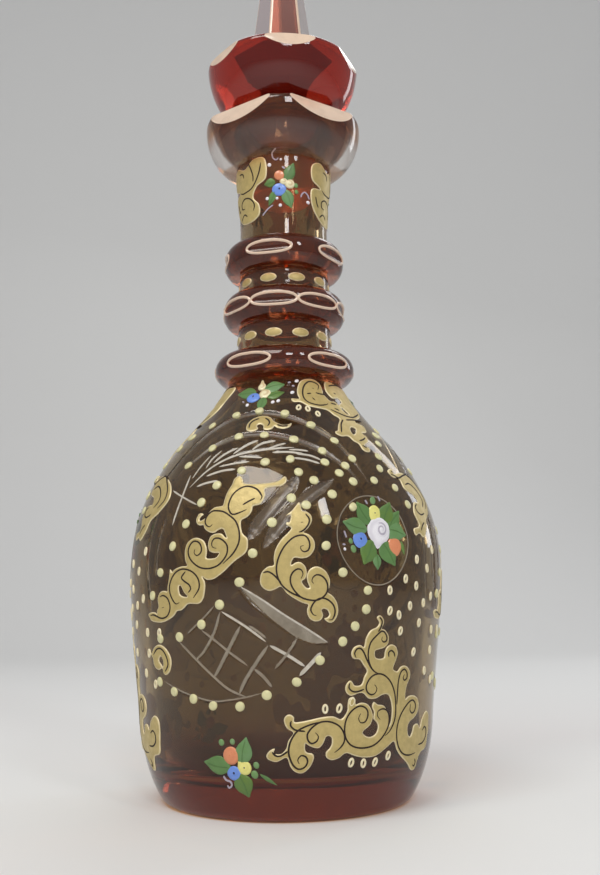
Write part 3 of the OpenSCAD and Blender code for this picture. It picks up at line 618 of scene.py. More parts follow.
def cut_body(bm):
    """Refines the outside near the cuts, lays it on its curve again and presses the cuts in."""
    layer = bm.verts.layers.float.new("cut")
    lines = []
    for points, half, depth, share, painted_shine in CUTS:
        path = through(points, 2.0)
        n = len(path) - 1
        for i in range(n):
            t = (i + 0.5) / n
            fade = min(1.0, 4 * min(t, 1 - t) + 0.15)
            for k in range(REPEATS):
                turn = 360 / REPEATS * k
                a, b = path[i], path[i + 1]
                lines.append((on_body(a[0] + turn, a[1]), on_body(b[0] + turn, b[1]), half * fade,
                              depth * fade))
    starts = np.array([line[0] for line in lines])
    ends = np.array([line[1] for line in lines])
    halves = np.array([line[2] for line in lines])
    depths = np.array([line[3] for line in lines])

    def nearest(points):
        """Depth and nearness of the cut at each point."""
        deep, near = np.zeros(len(points)), np.full(len(points), 9.0)
        ab = ends - starts
        long = np.maximum((ab * ab).sum(1), 1e-9)
        for first in range(0, len(points), 1500):
            p = points[first:first + 1500]
            ap = p[:, None, :] - starts[None]
            t = np.clip((ap * ab[None]).sum(2) / long[None], 0, 1)
            d = np.linalg.norm(ap - t[:, :, None] * ab[None], axis=2)
            share = d / halves[None]
            near[first:first + 1500] = (d - halves[None]).min(1)
            deep[first:first + 1500] = (depths[None] * np.clip(1 - share ** 1.5, 0, 1)).max(1)
        return deep, near

    def roundel_drop(points):
        """How far the roundels are pressed in at each point, which way, and how near their edge is."""
        drop, rim = np.zeros(len(points)), np.full(len(points), 9.0)
        ways = np.zeros((len(points), 3))
        for k in range(REPEATS):
            stand = np.array(stand_on(ROUNDEL_AZ + 360 / REPEATS * k, ROUNDEL_Z))
            local = (points - stand[:3, 3]) @ stand[:3, :3]
            away = np.hypot(local[:, 0], local[:, 1])
            close = (away < ROUNDEL_R + 1.5) & (local[:, 2] > -20)
            across, up = np.where(close, local[:, 0], 0), np.where(close, local[:, 1], 0)
            gap = np.where(close, local[:, 2] - roundel_floor(across, up), -9)
            wall = np.clip((ROUNDEL_R - away) / 0.6, 0, 1)
            drop = np.where(close, np.clip(gap, 0, None) * wall, drop)
            ways = np.where(close[:, None], stand[:3, 2], ways)
            edge = np.minimum(np.abs(gap), np.where(gap > 0, 0.3 * np.abs(away - ROUNDEL_R), 9))
            rim = np.where(close, np.minimum(rim, edge), rim)
        return drop, rim, ways

    def outer_verts():
        return [v for v in bm.verts if 1 < v.co.z < 168
                and math.hypot(v.co.x, v.co.y) > glass_radius(v.co.z) - 1.2]

    outer = outer_verts()
    spots = np.array([v.co for v in outer])
    deep, near = nearest(spots)
    drop, rim, ways = roundel_drop(spots)
    close = {v for v, n, r in zip(outer, near, rim) if n < 0.9 or r < 0.35}
    whole = set(outer)
    faces = [f for f in bm.faces if any(v in close for v in f.verts) and all(v in whole for v in f.verts)]
    edges = list({e for f in faces for e in f.edges})
    bmesh.ops.subdivide_edges(bm, edges=edges, cuts=2, use_grid_fill=True)
    outer = outer_verts()
    for v in outer:
        r = glass_radius(v.co.z)
        now = math.hypot(v.co.x, v.co.y)
        v.co.x *= r / now
        v.co.y *= r / now
    spots = np.array([v.co for v in outer])
    deep, near = nearest(spots)
    drop, rim, ways = roundel_drop(spots)
    for v, d, n, fall, way in zip(outer, deep, near, drop, ways):
        tilt = lean(v.co.z)
        a = math.atan2(v.co.x, -v.co.y)
        out = Vector((math.sin(a) * math.cos(tilt), -math.cos(a) * math.cos(tilt), math.sin(tilt)))
        v.co -= out * d
        v.co -= Vector(way) * fall
        v[layer] = max(0.0, min(1.0, -n / 0.25)) if n < 0 else 0.0


# Operators: glass

class DECANTER_OT_body(bpy.types.Operator):
    """Blows the hollow body and neck, and cuts its roundels, grooves and lattice"""
    bl_idname = "decanter.body"
    bl_label = "Body and neck"

    def execute(self, context):
        wall = sizes().wall / MM
        steps = 256
        outside = []
        z = 0.0
        while z < 168:
            outside.append((glass_radius(z), z))
            slope = abs(glass_radius(z + 0.5) - glass_radius(z - 0.5))
            z += 1.7 / math.hypot(1, slope)
        z = 172.0
        while z < MOUTH_Z - 2:
            outside.append((glass_radius(z), z))
            z += 4.5
        outside.append((19.7, MOUTH_Z - 0.3))
        floor_r, curl = 56 - wall - 2.2, 10
        inside = [(0, 12)] + [(r, 12) for r in (12, 24, 34)]
        for degrees in range(-90, -17, 9):
            a = math.radians(degrees)
            inside.append((floor_r - curl + curl * math.cos(a), 12 + curl * (1 + math.sin(a))))
        z = 24.0
        while z < 237:
            inside.append((max(glass_radius(z) - wall, 13), z))
            z += 3.5
        inside += [(13, MOUTH_Z - 34), (13.5, MOUTH_Z - 22), (14, MOUTH_Z - 10), (14.3, MOUTH_Z - 0.4),
                   (14.9, MOUTH_Z - 0.02)]
        foot = [(0, 2.0), (14, 1.75), (27, 1.0), (37.5, 0.06), (40, 0.0), (45.5, 0.0), (46.3, 0.35)]
        profile = foot + outside[1:] + [(19.1, MOUTH_Z - 0.02)] + inside[::-1]
        bm = spun(profile, steps)
        cut_body(bm)
        pour(ground_marks(), bm)
        # Two copies of the same ground glass: a paler one carrying painted shine for cuts that catch the light, and
        # a darker one.
        painted_shine = fired_finish("Ground cut with painted shine", (0.62, 0.58, 0.5), (0.45, 0.41, 0.34), 0.4, size=500.0)
        darker_cut = fired_finish("Darker ground cut", (0.3, 0.26, 0.2), (0.2, 0.165, 0.12), 0.3, size=260.0)
        finish_piece("blown_body", bm, [body_glass(), painted_shine, darker_cut], "bottle", ["vessel"], 62)
        return {"FINISHED"}


def ring_profile(z, d, t, steps=36):
    start = glass_radius(z)
    reach = d / 2 - start
    points = []
    for i in range(steps + 1):
        a = math.radians(-90 + 180 * i / steps)
        points.append((start + reach * max(math.cos(a), 0) ** 0.8, z + t / 2 * math.sin(a)))
    inner = [(glass_radius(h) - 0.12, h) for h in (z + t / 2, z + t / 4, z, z - t / 4, z - t / 2)]
    return points + inner


RINGS = [
    ("ring_low", "neck_ring_lower", 166.0, 56.6, 13.0, 5, -32),
    ("ring_mid", "neck_ring_middle", 190.4, 50.0, 14.2, 8, -10),
    ("ring_top", "neck_ring_upper", 211.8, 49.4, 13.8, 5, -15),
]


class DECANTER_OT_rings(bpy.types.Operator):
    """Lays three rings round the neck and grinds the olive cuts into them"""
    bl_idname = "decanter.rings"
    bl_label = "Neck rings"

    def execute(self, context):
        glass = glass_finish("Ring glass", [(150, tuple(colours().ring)), (225, tuple(colours().ring))],
                             0.03, (0.85, 0.5, 0.35), 0.04)
        pale = tuple(colours().facet)
        # Pale finish for the beads round the olive cuts: a painted highlight, the glint that each cut edge catches.
        edge_glint = fired_finish("Painted glint on cut edge", pale, tuple(v * 0.85 for v in pale), 0.25, size=500.0,
                             bump=0.1, coat=0.5)
        olive_r, depth = 3.0, 1.8
        for name, cad, z, d, t, cuts, first in RINGS:
            bm = bmesh.new()
            bm.verts.layers.float.new("cut")
            spun(ring_profile(z, d, t), 240, bm)
            start, reach = glass_radius(z), d / 2 - glass_radius(z)
            for v in bm.verts:
                h = v.co.z - z
                for k in range(cuts):
                    a = math.radians(first + 360 / cuts * k)
                    x = v.co.x * math.cos(a) + v.co.y * math.sin(a)
                    y = v.co.x * math.sin(a) - v.co.y * math.cos(a)
                    if y < 0 or abs(h) >= olive_r:
                        continue
                    floor = d / 2 - depth + olive_r - math.sqrt(olive_r ** 2 - h * h)
                    if y > floor:
                        v.co -= Vector((math.sin(a), -math.cos(a), 0)) * (y - floor)
                        break
            for k in range(cuts):
                lens = []
                for side in (1, -1):
                    row = []
                    for i in range(41):
                        h = side * 2.74 * i / 40
                        s = min(1.0, abs(h) / (t / 2))
                        r = start + reach * (1 - s * s) ** 0.4
                        floor = d / 2 - depth + olive_r - math.sqrt(max(olive_r ** 2 - h * h, 0))
                        if r <= floor:
                            break
                        row.append((math.sqrt(r * r - floor * floor), h, floor))
                    lens.append(row)
                right = lens[1][::-1] + lens[0][1:]
                a = math.radians(first + 360 / cuts * k)
                loop = [(x, h, f) for x, h, f in right] + [(-x, h, f) for x, h, f in right[::-1]]
                # Painted highlight: a pale bead round the edge of this olive cut, where the cut edge catches the
                # light.
                ribbon(bm, [(x * math.cos(a) + f * math.sin(a), x * math.sin(a) - f * math.cos(a), z + h)
                            for x, h, f in loop], 0.6, 1)
            finish_piece(name, bm, [glass, edge_glint], "bottle", [cad], 55)
        return {"FINISHED"}


def ribbon(bm, loop, radius, material):
    """A thin round bead along a closed line in space; on the rings it is the painted highlight along the olive cuts'
    edges.
    """
    path = [Vector(p) for p in loop]
    keep = [path[0]]
    for p in path[1:]:
        if (p - keep[-1]).length > 0.45:
            keep.append(p)
    if (keep[-1] - keep[0]).length < 0.45:
        keep.pop()
    n = len(keep)
    part = bmesh.new()
    rings = []
    for i, p in enumerate(keep):
        way = (keep[(i + 1) % n] - keep[i - 1]).normalized()
        out = Vector((p.x, p.y, 0)).normalized()
        side = way.cross(out).normalized()
        out = side.cross(way).normalized()
        made = bmesh.ops.create_circle(part, segments=6, radius=radius)["verts"]
        turn = Matrix((side, out, way)).transposed().to_4x4()
        bmesh.ops.transform(part, matrix=Matrix.Translation(p - out * radius * 0.55) @ turn, verts=made)
        rings.append([e for e in {e for v in made for e in v.link_edges}])
    for i in range(n):
        bmesh.ops.bridge_loops(part, edges=rings[i] + rings[(i + 1) % n])
    for f in part.faces:
        f.material_index = material
    pour(part, bm)


def flats(bm, count, first, r, z, tilt, material):
    """Slices a flat off an edge count times round the axis, and fills each."""
    for k in range(count):
        a = math.radians(first + 360 / count * k)
        out = Vector((math.sin(a), -math.cos(a), 0))
        t = math.radians(tilt)
        normal = out * math.sin(t) + Vector((0, 0, math.cos(t)))
        at = out * r + Vector((0, 0, z))
        cut = bmesh.ops.bisect_plane(bm, geom=bm.verts[:] + bm.edges[:] + bm.faces[:], dist=1e-4,
                                     plane_co=at, plane_no=normal, clear_outer=True)
        edges = [g for g in cut["geom_cut"] if isinstance(g, bmesh.types.BMEdge)]
        filled = bmesh.ops.edgeloop_fill(bm, edges=edges, mat_nr=material)
        bmesh.ops.recalc_face_normals(bm, faces=bm.faces[:])


class DECANTER_OT_lip(bpy.types.Operator):
    """Flares the lip and cuts its five flats"""
    bl_idname = "decanter.lip"
    bl_label = "Lip"

    def execute(self, context):
        inner, lip_r, lip_t, edge = 19.6, 32.5, 20.2, 2.4
        wide_z = MOUTH_Z - edge
        profile = []
        for i in range(29):
            a = math.radians(90 - 90 * i / 28)
            profile.append((inner + (lip_r - inner) * math.cos(a), wide_z - (lip_t - edge) * math.sin(a)))
        for i in range(1, 9):
            a = math.radians(90 * i / 8)
            profile.append((lip_r - edge * 0.7 + edge * 0.7 * math.cos(a), wide_z + edge * math.sin(a)))
        profile += [(26.5, MOUTH_Z), (23, MOUTH_Z), (inner, MOUTH_Z)]
        bm = spun(profile, 192)
        bm.verts.layers.float.new("cut")
        flats(bm, 5, 34, lip_r - edge * 0.7 - 3.1, MOUTH_Z, 65, 1)
        lip = tuple(colours().lip)
        clear = tuple(colours().clear)
        half = tuple(0.5 * (a + b) for a, b in zip(clear, lip))
        glass = glass_finish("Lip glass", [(250, clear), (259.5, clear), (261.5, half), (264, lip),
                                           (274, tuple(v * 0.8 for v in lip))],
                             0.02, (0.85, 0.62, 0.45), 0.03)
        face = facet_glass()
        finish_piece("flared_lip", bm, [glass, face], "bottle", ["mouth_flange"], 30)
        return {"FINISHED"}


def facet_glass():
    pale = tuple(colours().facet)
    return fired_finish("Ground facet", pale, tuple(v * 0.8 for v in pale), 0.2, size=120.0, bump=0.05,
                        coat=0.6)


class DECANTER_OT_stopper(bpy.types.Operator):
    """Makes the stopper: its ground peg, its ruby disc with six flats, and its spire"""
    bl_idname = "decanter.stopper"
    bl_label = "Stopper"

    def execute(self, context):
        disc_z, rim_z, top_z = 275.2, 296.8, 303.4
        peg = [(0, 239.6), (9, 239.6), (11.6, 239.7), (12.5, 240.1), (12.95, 241.0)]
        for i in range(1, 13):
            z = 241 + (MOUTH_Z - 241) * i / 12
            peg.append((12.98 + (14.14 - 12.98) * (z - 241) / (MOUTH_Z - 241), z))
        peg += [(14.14, disc_z), (0, disc_z)]
        bm = spun(peg, 96)
        bm.verts.layers.float.new("cut")
        ground = glass_finish("Ground peg", [(238, (0.72, 0.66, 0.6)), (276, (0.6, 0.42, 0.3))], 0.38,
                              (0.9, 0.85, 0.8), 0.3)
        finish_piece("ground_peg", bm, [ground], "stopper", ["stopper_peg"], 40)

        under = (15.8, disc_z)
        profile = [(0, disc_z), (8, disc_z), under]
        profile += bend(under, (24.3, 275.7), (30.5, 284.8), (31.9, rim_z), 26)
        profile += [(31.86, rim_z + 0.8), (31.55, rim_z + 1.6), (31.0, rim_z + 2.1), (30.6, rim_z + 2.4)]
        profile += bend((30.6, 299.2), (23.9, 301.7), (18.3, top_z), (14.3, top_z), 14)
        profile += [(8, top_z), (0, top_z)]
        bm = spun(profile, 192)
        bm.verts.layers.float.new("cut")
        flats(bm, 6, 6, 31.9 - 1.3 - 1.0, rim_z + 2.4, 72, 1)
        ruby = tuple(colours().ruby)
        glass = glass_finish("Ruby disc glass", [(274, tuple(v * 1.3 for v in ruby)), (300, ruby), (305, ruby)],
                             0.02, (0.8, 0.35, 0.25), 0.03, clear=0.8)
        finish_piece("ruby_disc", bm, [glass, facet_glass()], "stopper", ["stopper_disc"], 30)

        edge = [(12.3, top_z)] + bend((12.3, top_z), (10.2, top_z + 14), (7.2, 345.4), (5.2, 371.4), 22)
        edge.append((0.4, 383.4))
        corner = 1 / math.cos(math.radians(30))
        profile = [(0, top_z)] + [(r * corner, z) for r, z in edge] + [(0, 383.4)]
        bm = bmesh.new()
        chain = [bm.verts.new((r, 0, z)) for r, z in profile]
        edges = [bm.edges.new(pair) for pair in zip(chain, chain[1:])]
        bmesh.ops.rotate(bm, verts=chain, cent=(0, 0, 0), matrix=Matrix.Rotation(math.radians(6), 3, "Z"))
        bmesh.ops.spin(bm, geom=chain + edges, cent=(0, 0, 0), axis=(0, 0, 1), angle=math.tau, steps=6,
                       use_merge=True)
        bmesh.ops.remove_doubles(bm, verts=bm.verts[:], dist=1e-4)
        bmesh.ops.recalc_face_normals(bm, faces=bm.faces[:])
        upright = [e for e in bm.edges if abs(e.verts[0].co.z - e.verts[1].co.z) > 0.5
                   and min(math.hypot(v.co.x, v.co.y) for v in e.verts) > 0.2
                   and e.calc_face_angle(0) > 0.5]
        bmesh.ops.bevel(bm, geom=upright, offset=0.7, offset_type="OFFSET", segments=2, profile=0.5,
                        affect="EDGES", material=1)
        bm.verts.layers.float.new("cut")
        c = tuple(colours().spire)
        glass = glass_finish("Spire glass", [(300, tuple(v * 0.8 for v in c)), (330, c), (384, c)], 0.05,
                             (0.85, 0.6, 0.45), 0.03, clear=0.75)
        finish_piece("spire", bm, [glass, facet_glass()], "stopper", ["stopper_spire"], 10)
        return {"FINISHED"}


# Raised gold

# Each scroll: the side it is drawn from, its outline, its holes and its contour lines
RISING = (-28, [(8.3, 116), (10, 117), (11.5, 115.5), (12.5, 114), (18, 113.8), (23, 114.5), (25, 116.3),
                (26, 115), (25, 113), (20, 112), (20.3, 109.5), (19.3, 106.5), (17, 105.8), (16.8, 104),
                (15.5, 102), (13.6, 100.8), (14, 97.5), (14.8, 96), (16.3, 94.5), (16.5, 91.5), (15.5, 89.5),
                (12, 87), (8, 83.5), (4.5, 81.3), (1.8, 81), (0, 82), (1, 80), (0.8, 77), (0, 74.5),
                (-1.8, 73), (-6, 73), (-8, 71.7), (-9.5, 70.8), (-11.5, 70.5), (-13, 69), (-16, 67.5),
                (-20, 66.6), (-25, 67), (-26.5, 68), (-27.5, 69.5), (-25, 70.2), (-23, 70), (-22, 69.5),
                (-21.8, 71), (-21, 72), (-21.3, 75), (-20, 77), (-18, 77.6), (-16, 77.4), (-15.8, 79),
                (-15, 82), (-14.5, 85), (-13.5, 84), (-12, 85), (-9, 85.8), (-6.5, 86), (-7.3, 88),
                (-7.5, 91), (-6.8, 93.5), (-5, 95), (-3, 95.5), (-1, 95), (0.5, 94), (1.5, 92), (1.7, 90),
                (1.7, 88.3), (5, 88.3), (6.3, 89.5), (6.5, 90), (5, 90), (3, 90.5), (2.2, 92), (2.2, 94),
                (3, 95.8), (5, 96.6), (7, 96.5), (8.3, 95.3), (9, 95), (7.5, 98), (6, 98), (4, 96.9),
                (1.5, 97.5), (0, 98.8), (-0.5, 99.8), (-2, 99.7), (-3.3, 100.5), (-3.8, 102), (-3, 103.8),
                (-1.8, 104), (-1, 103.5), (-1.8, 103), (-2.5, 102), (-1.8, 101.3), (0, 102.3), (1, 104),
                (3, 105.8), (6, 106.3), (6.3, 108), (6.8, 111), (8, 114)],
          [[(-10.3, 79), (-10, 76.5), (-8.5, 75.5), (-6.5, 75.5), (-8, 77), (-9.3, 79)]],
          [[(15, 104.5), (11, 103), (9.3, 103.8), (8.3, 106.5), (9.5, 110.5), (13, 112.8), (17, 111.8),
            (19.4, 109), (19, 107.8)],
           [(3.2, 99.8), (2.3, 99), (1, 99.5), (0.2, 101), (0.8, 103), (2.5, 104.4), (4.5, 104.5), (7, 104),
            (9.5, 102.5), (11.8, 100.5), (13.2, 97.5), (13.6, 94.5), (13, 92), (11.3, 89.3), (8, 86.3)],
           [(5.5, 91.5), (4, 92), (3.6, 93.3), (4.3, 94.7), (6, 95), (8, 94), (9.4, 92.3), (9.5, 90),
            (8.5, 88), (6.5, 86), (4, 85), (1.5, 84.8), (-1, 85.3), (-3.5, 86.8), (-5.3, 88.8), (-5.9, 91),
            (-5.2, 93), (-3.8, 94.2), (-2, 94), (-0.7, 92.8), (-0.3, 91), (-1, 89.8), (-2.3, 89.3),
            (-3.3, 90.3), (-3, 91.5)],
           [(-10, 73.5), (-11.5, 73), (-13, 74.2), (-14.3, 76.5), (-14.6, 79), (-13.5, 81.7), (-11.5, 83.8),
            (-9, 84.8), (-6.5, 84.7), (-4, 83.8), (-2, 82), (-1.2, 80), (-1.5, 77.8), (-3.8, 75)],
           [(-7, 84), (-8.8, 82), (-7.5, 80.7), (-5.5, 79.5), (-4.8, 78), (-6, 76.8)],
           [(-19.8, 75.5), (-18, 76), (-15.8, 75), (-14.7, 73), (-14.7, 71), (-16, 69), (-18, 68.2),
            (-20, 68.2), (-22, 68.8), (-24, 69.3), (-25.8, 69)],
           [(-18.8, 71.7), (-17.8, 71.9)], [(13.4, 106.2), (15.2, 107.4), (17.2, 108.4)]])
FALLING = (8, [(-3.5, 107), (-3, 106.5), (-2.5, 104), (-1, 103.6), (0.3, 102.5), (0.7, 101), (0.3, 99.5),
               (-1, 97.7), (-2.3, 96.5), (-0.5, 95.7), (1, 94), (1.4, 92), (0.8, 90), (-0.8, 88.3),
               (-3, 87.7), (-5.5, 88), (-6.5, 86.8), (-6.7, 85.5), (-5, 86.4), (-3.5, 86.4), (-2, 85),
               (-1.5, 83), (-2, 81), (-3.2, 80), (-1.8, 78), (-0.5, 78), (-1.3, 80), (-1.5, 82), (-0.5, 84),
               (1.5, 85), (3.5, 84.5), (5.3, 83), (6.4, 80.5), (6.2, 78), (5.6, 76.5), (7.5, 75), (9, 72.5),
               (9.2, 69.5), (8, 67), (6.5, 66.3), (5, 67), (4.5, 67.8), (5.5, 68), (6.2, 69), (5.5, 70.5),
               (4.3, 71), (3.5, 70.5), (4, 69), (3.5, 67.5), (2, 66.8), (0, 67.3), (-1.2, 69), (-1.4, 71),
               (-1, 72.3), (-3, 73), (-5, 74), (-8, 76), (-10, 78.3), (-12, 77.5), (-14, 77), (-16, 78),
               (-17, 80), (-16.5, 83), (-14.5, 85), (-12.5, 85.5), (-12.5, 88), (-11.8, 91), (-10, 94),
               (-7.5, 96.5), (-6.5, 98), (-8, 99), (-8, 100), (-7, 100), (-6.5, 102.5), (-8, 102.3),
               (-6, 104), (-4, 106.5)], [],
           [[(-2.5, 92), (-3.5, 91.7), (-3.3, 90.5), (-2.3, 89.9), (-1, 90.4), (-0.4, 92), (-0.8, 94),
             (-2, 95.3), (-3.8, 95.4), (-6, 94.6), (-8.3, 92.5), (-10, 90), (-11.2, 87), (-11.6, 84),
             (-11, 81), (-9.5, 78.5), (-7, 76.5), (-4.5, 75.3), (-2, 74.3), (0.5, 73.9)],
            [(-3.5, 81), (-2.8, 82.5), (-3.3, 83.8), (-4.5, 84.2), (-5.8, 83.5), (-6.8, 82), (-7, 80),
             (-6.3, 78), (-4.8, 76), (-3, 74.6), (0, 73.8), (2.5, 74), (4.5, 75.3), (5.5, 77), (5.5, 79),
             (4.7, 80.8), (3.2, 82), (1.7, 82.2), (0.5, 81.3), (0.2, 80), (0.8, 79.3)],
            [(1.7, 68.7), (0.7, 69), (-0.2, 70.5), (0.2, 72), (1.5, 73.7), (3.5, 74.5), (5.5, 74), (7.3, 72.5),
             (8.1, 70.5), (7.8, 68.5), (7, 67.3), (6, 67.3)],
            [(-16, 83), (-14.5, 83.4), (-13, 82.7), (-11.5, 81.3), (-10, 79.5)],
            [(-1.5, 102.8), (-0.3, 101), (-0.7, 99), (-2.5, 97), (-4, 96.5)], [(-3.2, 99.8), (-2.4, 99.9)]])
FOOT = (27, [(4.5, 68), (5.7, 68.5), (7, 67.5), (7.5, 66), (6.5, 64), (8, 63.5), (9.7, 61.5), (9.6, 59),
             (8, 57.6), (5.5, 57), (4, 56.5), (4.2, 54.5), (6, 53.8), (8, 54.2), (8.3, 56), (9.3, 57.8),
             (11.5, 58.5), (13.5, 57.5), (14.3, 55.5), (13.8, 53.5), (12.8, 51.5), (12.5, 50), (14.5, 49.2),
             (16, 50.6), (18, 51), (20, 50.2), (21.3, 48.5), (21.2, 46.5), (20, 44.5), (19.3, 42.5),
             (19.2, 39.5), (21, 40.3), (24, 40.3), (26.5, 39), (27.4, 36.5), (26.5, 34), (24.5, 32.5),
             (21.8, 31.3), (20.8, 29.5), (21.2, 27), (22.5, 26.3), (23.6, 27.6), (24.5, 29.8), (27, 30.2),
             (28.6, 28.6), (30.2, 31.5), (33, 33.8), (35.3, 33), (36, 29.5), (35.3, 25), (34, 21), (30, 19.5),
             (28.5, 17), (27.5, 14.5), (25.5, 14), (24, 15), (22, 17), (18, 20), (15.5, 22.5), (13.8, 25.5),
             (11, 24.2), (7, 22), (4, 21.3), (0, 21.5), (-3, 22.3), (-6, 23.3), (-8.5, 21.8), (-11, 21.3),
             (-12.8, 22.3), (-13, 24), (-12, 25), (-11.2, 26.5), (-11.3, 28.5), (-12.3, 29.2), (-13.3, 28.8),
             (-14, 27), (-15.3, 25.5), (-17, 25.6), (-19, 26.5), (-19.8, 27), (-19.8, 25), (-19, 24),
             (-17.5, 23.7), (-16.8, 22.5), (-17.5, 20), (-19, 18), (-20.5, 17.3), (-22.5, 18), (-24, 19.8),
             (-25.3, 22.5), (-28, 21.2), (-30.5, 22), (-31, 23.5), (-30, 25), (-28.8, 25.5), (-29, 24),
             (-27, 23.7), (-25.5, 25.5), (-25, 28), (-23.6, 30.5), (-25.5, 32), (-26.5, 34.5), (-26, 36),
             (-24.8, 36.5), (-23.5, 35.5), (-23.3, 34), (-20, 34.3), (-15, 35.3), (-11, 35.5), (-8, 34.5),
             (-6, 37), (-5.9, 39), (-5.5, 41), (-4, 41.5), (-3, 40.5), (-3, 39), (-1, 39.5), (1.5, 39),
             (3.3, 37), (4, 34.5), (3, 32), (0.8, 30.5), (0, 29.5), (1.5, 28.3), (3.5, 28), (5.5, 29),
             (6.3, 31), (5.8, 32.5), (4.3, 34), (4.5, 36), (3.6, 38), (4.3, 39.5), (6, 38.5), (8.5, 38),
             (10.3, 36), (11.2, 33.5), (11.3, 31), (12.2, 33), (12.5, 36), (12, 39), (10.5, 41.5), (8, 41.7),
             (5, 40.6), (2, 40.8), (0, 42.5), (-2, 42.7), (-5, 42), (-6.8, 43.5), (-6.8, 45.5), (-5.5, 47),
             (-4.5, 46.5), (-3.5, 45.3), (-1, 45.5), (0, 48), (1, 50), (-0.5, 52), (-2, 53.8), (-4.5, 54.3),
             (-5.3, 56), (-4.3, 58), (-2, 58.7), (-0.5, 58), (0.2, 61), (2, 63.5), (4.5, 64.5), (5.5, 66),
             (4.5, 67.5)], [],
        [[(6.8, 61.3), (6.5, 60.3), (7.3, 59.5), (8.5, 59.8), (8.8, 61), (8, 62.5), (6.5, 63.2), (4, 61.5),
          (2, 59.5), (1.2, 57), (1.2, 54.5), (2, 52), (3.5, 50), (5.5, 49)],
         [(5.3, 68), (6.5, 66.5), (6, 64.5), (5, 63)],
         [(10, 54.3), (9.8, 55.8), (11, 56.5), (12.3, 55.7), (12.7, 54.3)],
         [(-3.5, 54.5), (-4.2, 56), (-3.3, 57.5), (-1.8, 57.5), (-0.5, 56), (0.8, 53.5), (2.5, 51), (4.5, 49.2)],
         [(4.2, 45.3), (5.2, 44), (4.6, 42.5), (3, 42), (1.3, 43), (0.8, 45), (2, 47.3), (4, 48.6), (6.5, 48.8),
          (9, 47.8), (11.5, 45.5), (13.3, 42), (14, 38), (14, 34.5), (13, 31.5), (11, 29), (9.3, 28)],
         [(-5.5, 46.3), (-5.8, 44.8), (-4.5, 43.5), (-2.5, 43.3), (0, 44)],
         [(-1, 36), (-1.8, 34.5), (-1, 33), (0.8, 33.2), (1.8, 35), (1.5, 37), (0, 38.2), (-2, 38.4),
          (-4.5, 37), (-6.3, 34.5), (-6.9, 31.5), (-6.5, 28.5), (-5, 26.3), (-2.5, 25), (1, 24.6), (4.5, 25.2),
          (7.5, 27), (9.8, 29.5), (11, 32), (11, 34.5), (10, 36.3), (8, 37), (6, 36.3), (5.8, 34.8), (7, 33.5)],
         [(-16.8, 30.5), (-15.8, 29.3), (-16.2, 27.8), (-17.8, 27), (-19, 28), (-19.3, 30), (-18, 32),
          (-15.8, 33.6), (-13.5, 34), (-11, 33.5), (-8.5, 32), (-7, 29.5), (-7, 27), (-8.5, 25), (-10.2, 23.8)],
         [(-21.3, 20.5), (-21.9, 21.8), (-21, 23.2), (-19.5, 22.8), (-18.8, 21.3), (-19.5, 19.5),
          (-21.3, 18.8), (-23, 20), (-24.3, 22.5), (-24.8, 25), (-24.3, 28), (-22.5, 31), (-20, 32.5),
          (-17, 33.5), (-14, 34)],
         [(-24.3, 34.5), (-24.5, 33), (-23, 31.5), (-20, 31)],
         [(-29.5, 24.5), (-28.5, 23.3), (-27, 23.2), (-25, 24.7)],
         [(22, 37.5), (21.7, 35.5), (23, 34.3), (24.5, 35), (25, 37), (23.5, 38.7), (21.5, 38.5), (19, 36.8),
          (16.5, 34), (15, 30.5), (14.8, 27), (16, 23.5), (18.5, 21), (22, 20), (26, 20.3)],
         [(18, 48), (17.3, 47), (18, 46), (19.3, 46.7), (19.3, 48.5), (17.8, 49.8), (16, 48.8), (15, 46),
          (14.7, 42), (14.6, 38)],
         [(30, 27.5), (31.8, 28.6), (33.2, 27.4), (33, 25), (30.8, 23.2), (27.6, 22.9)],
         [(25.2, 16.2), (26.2, 15.6), (26.8, 16.8), (26, 18.2)]])
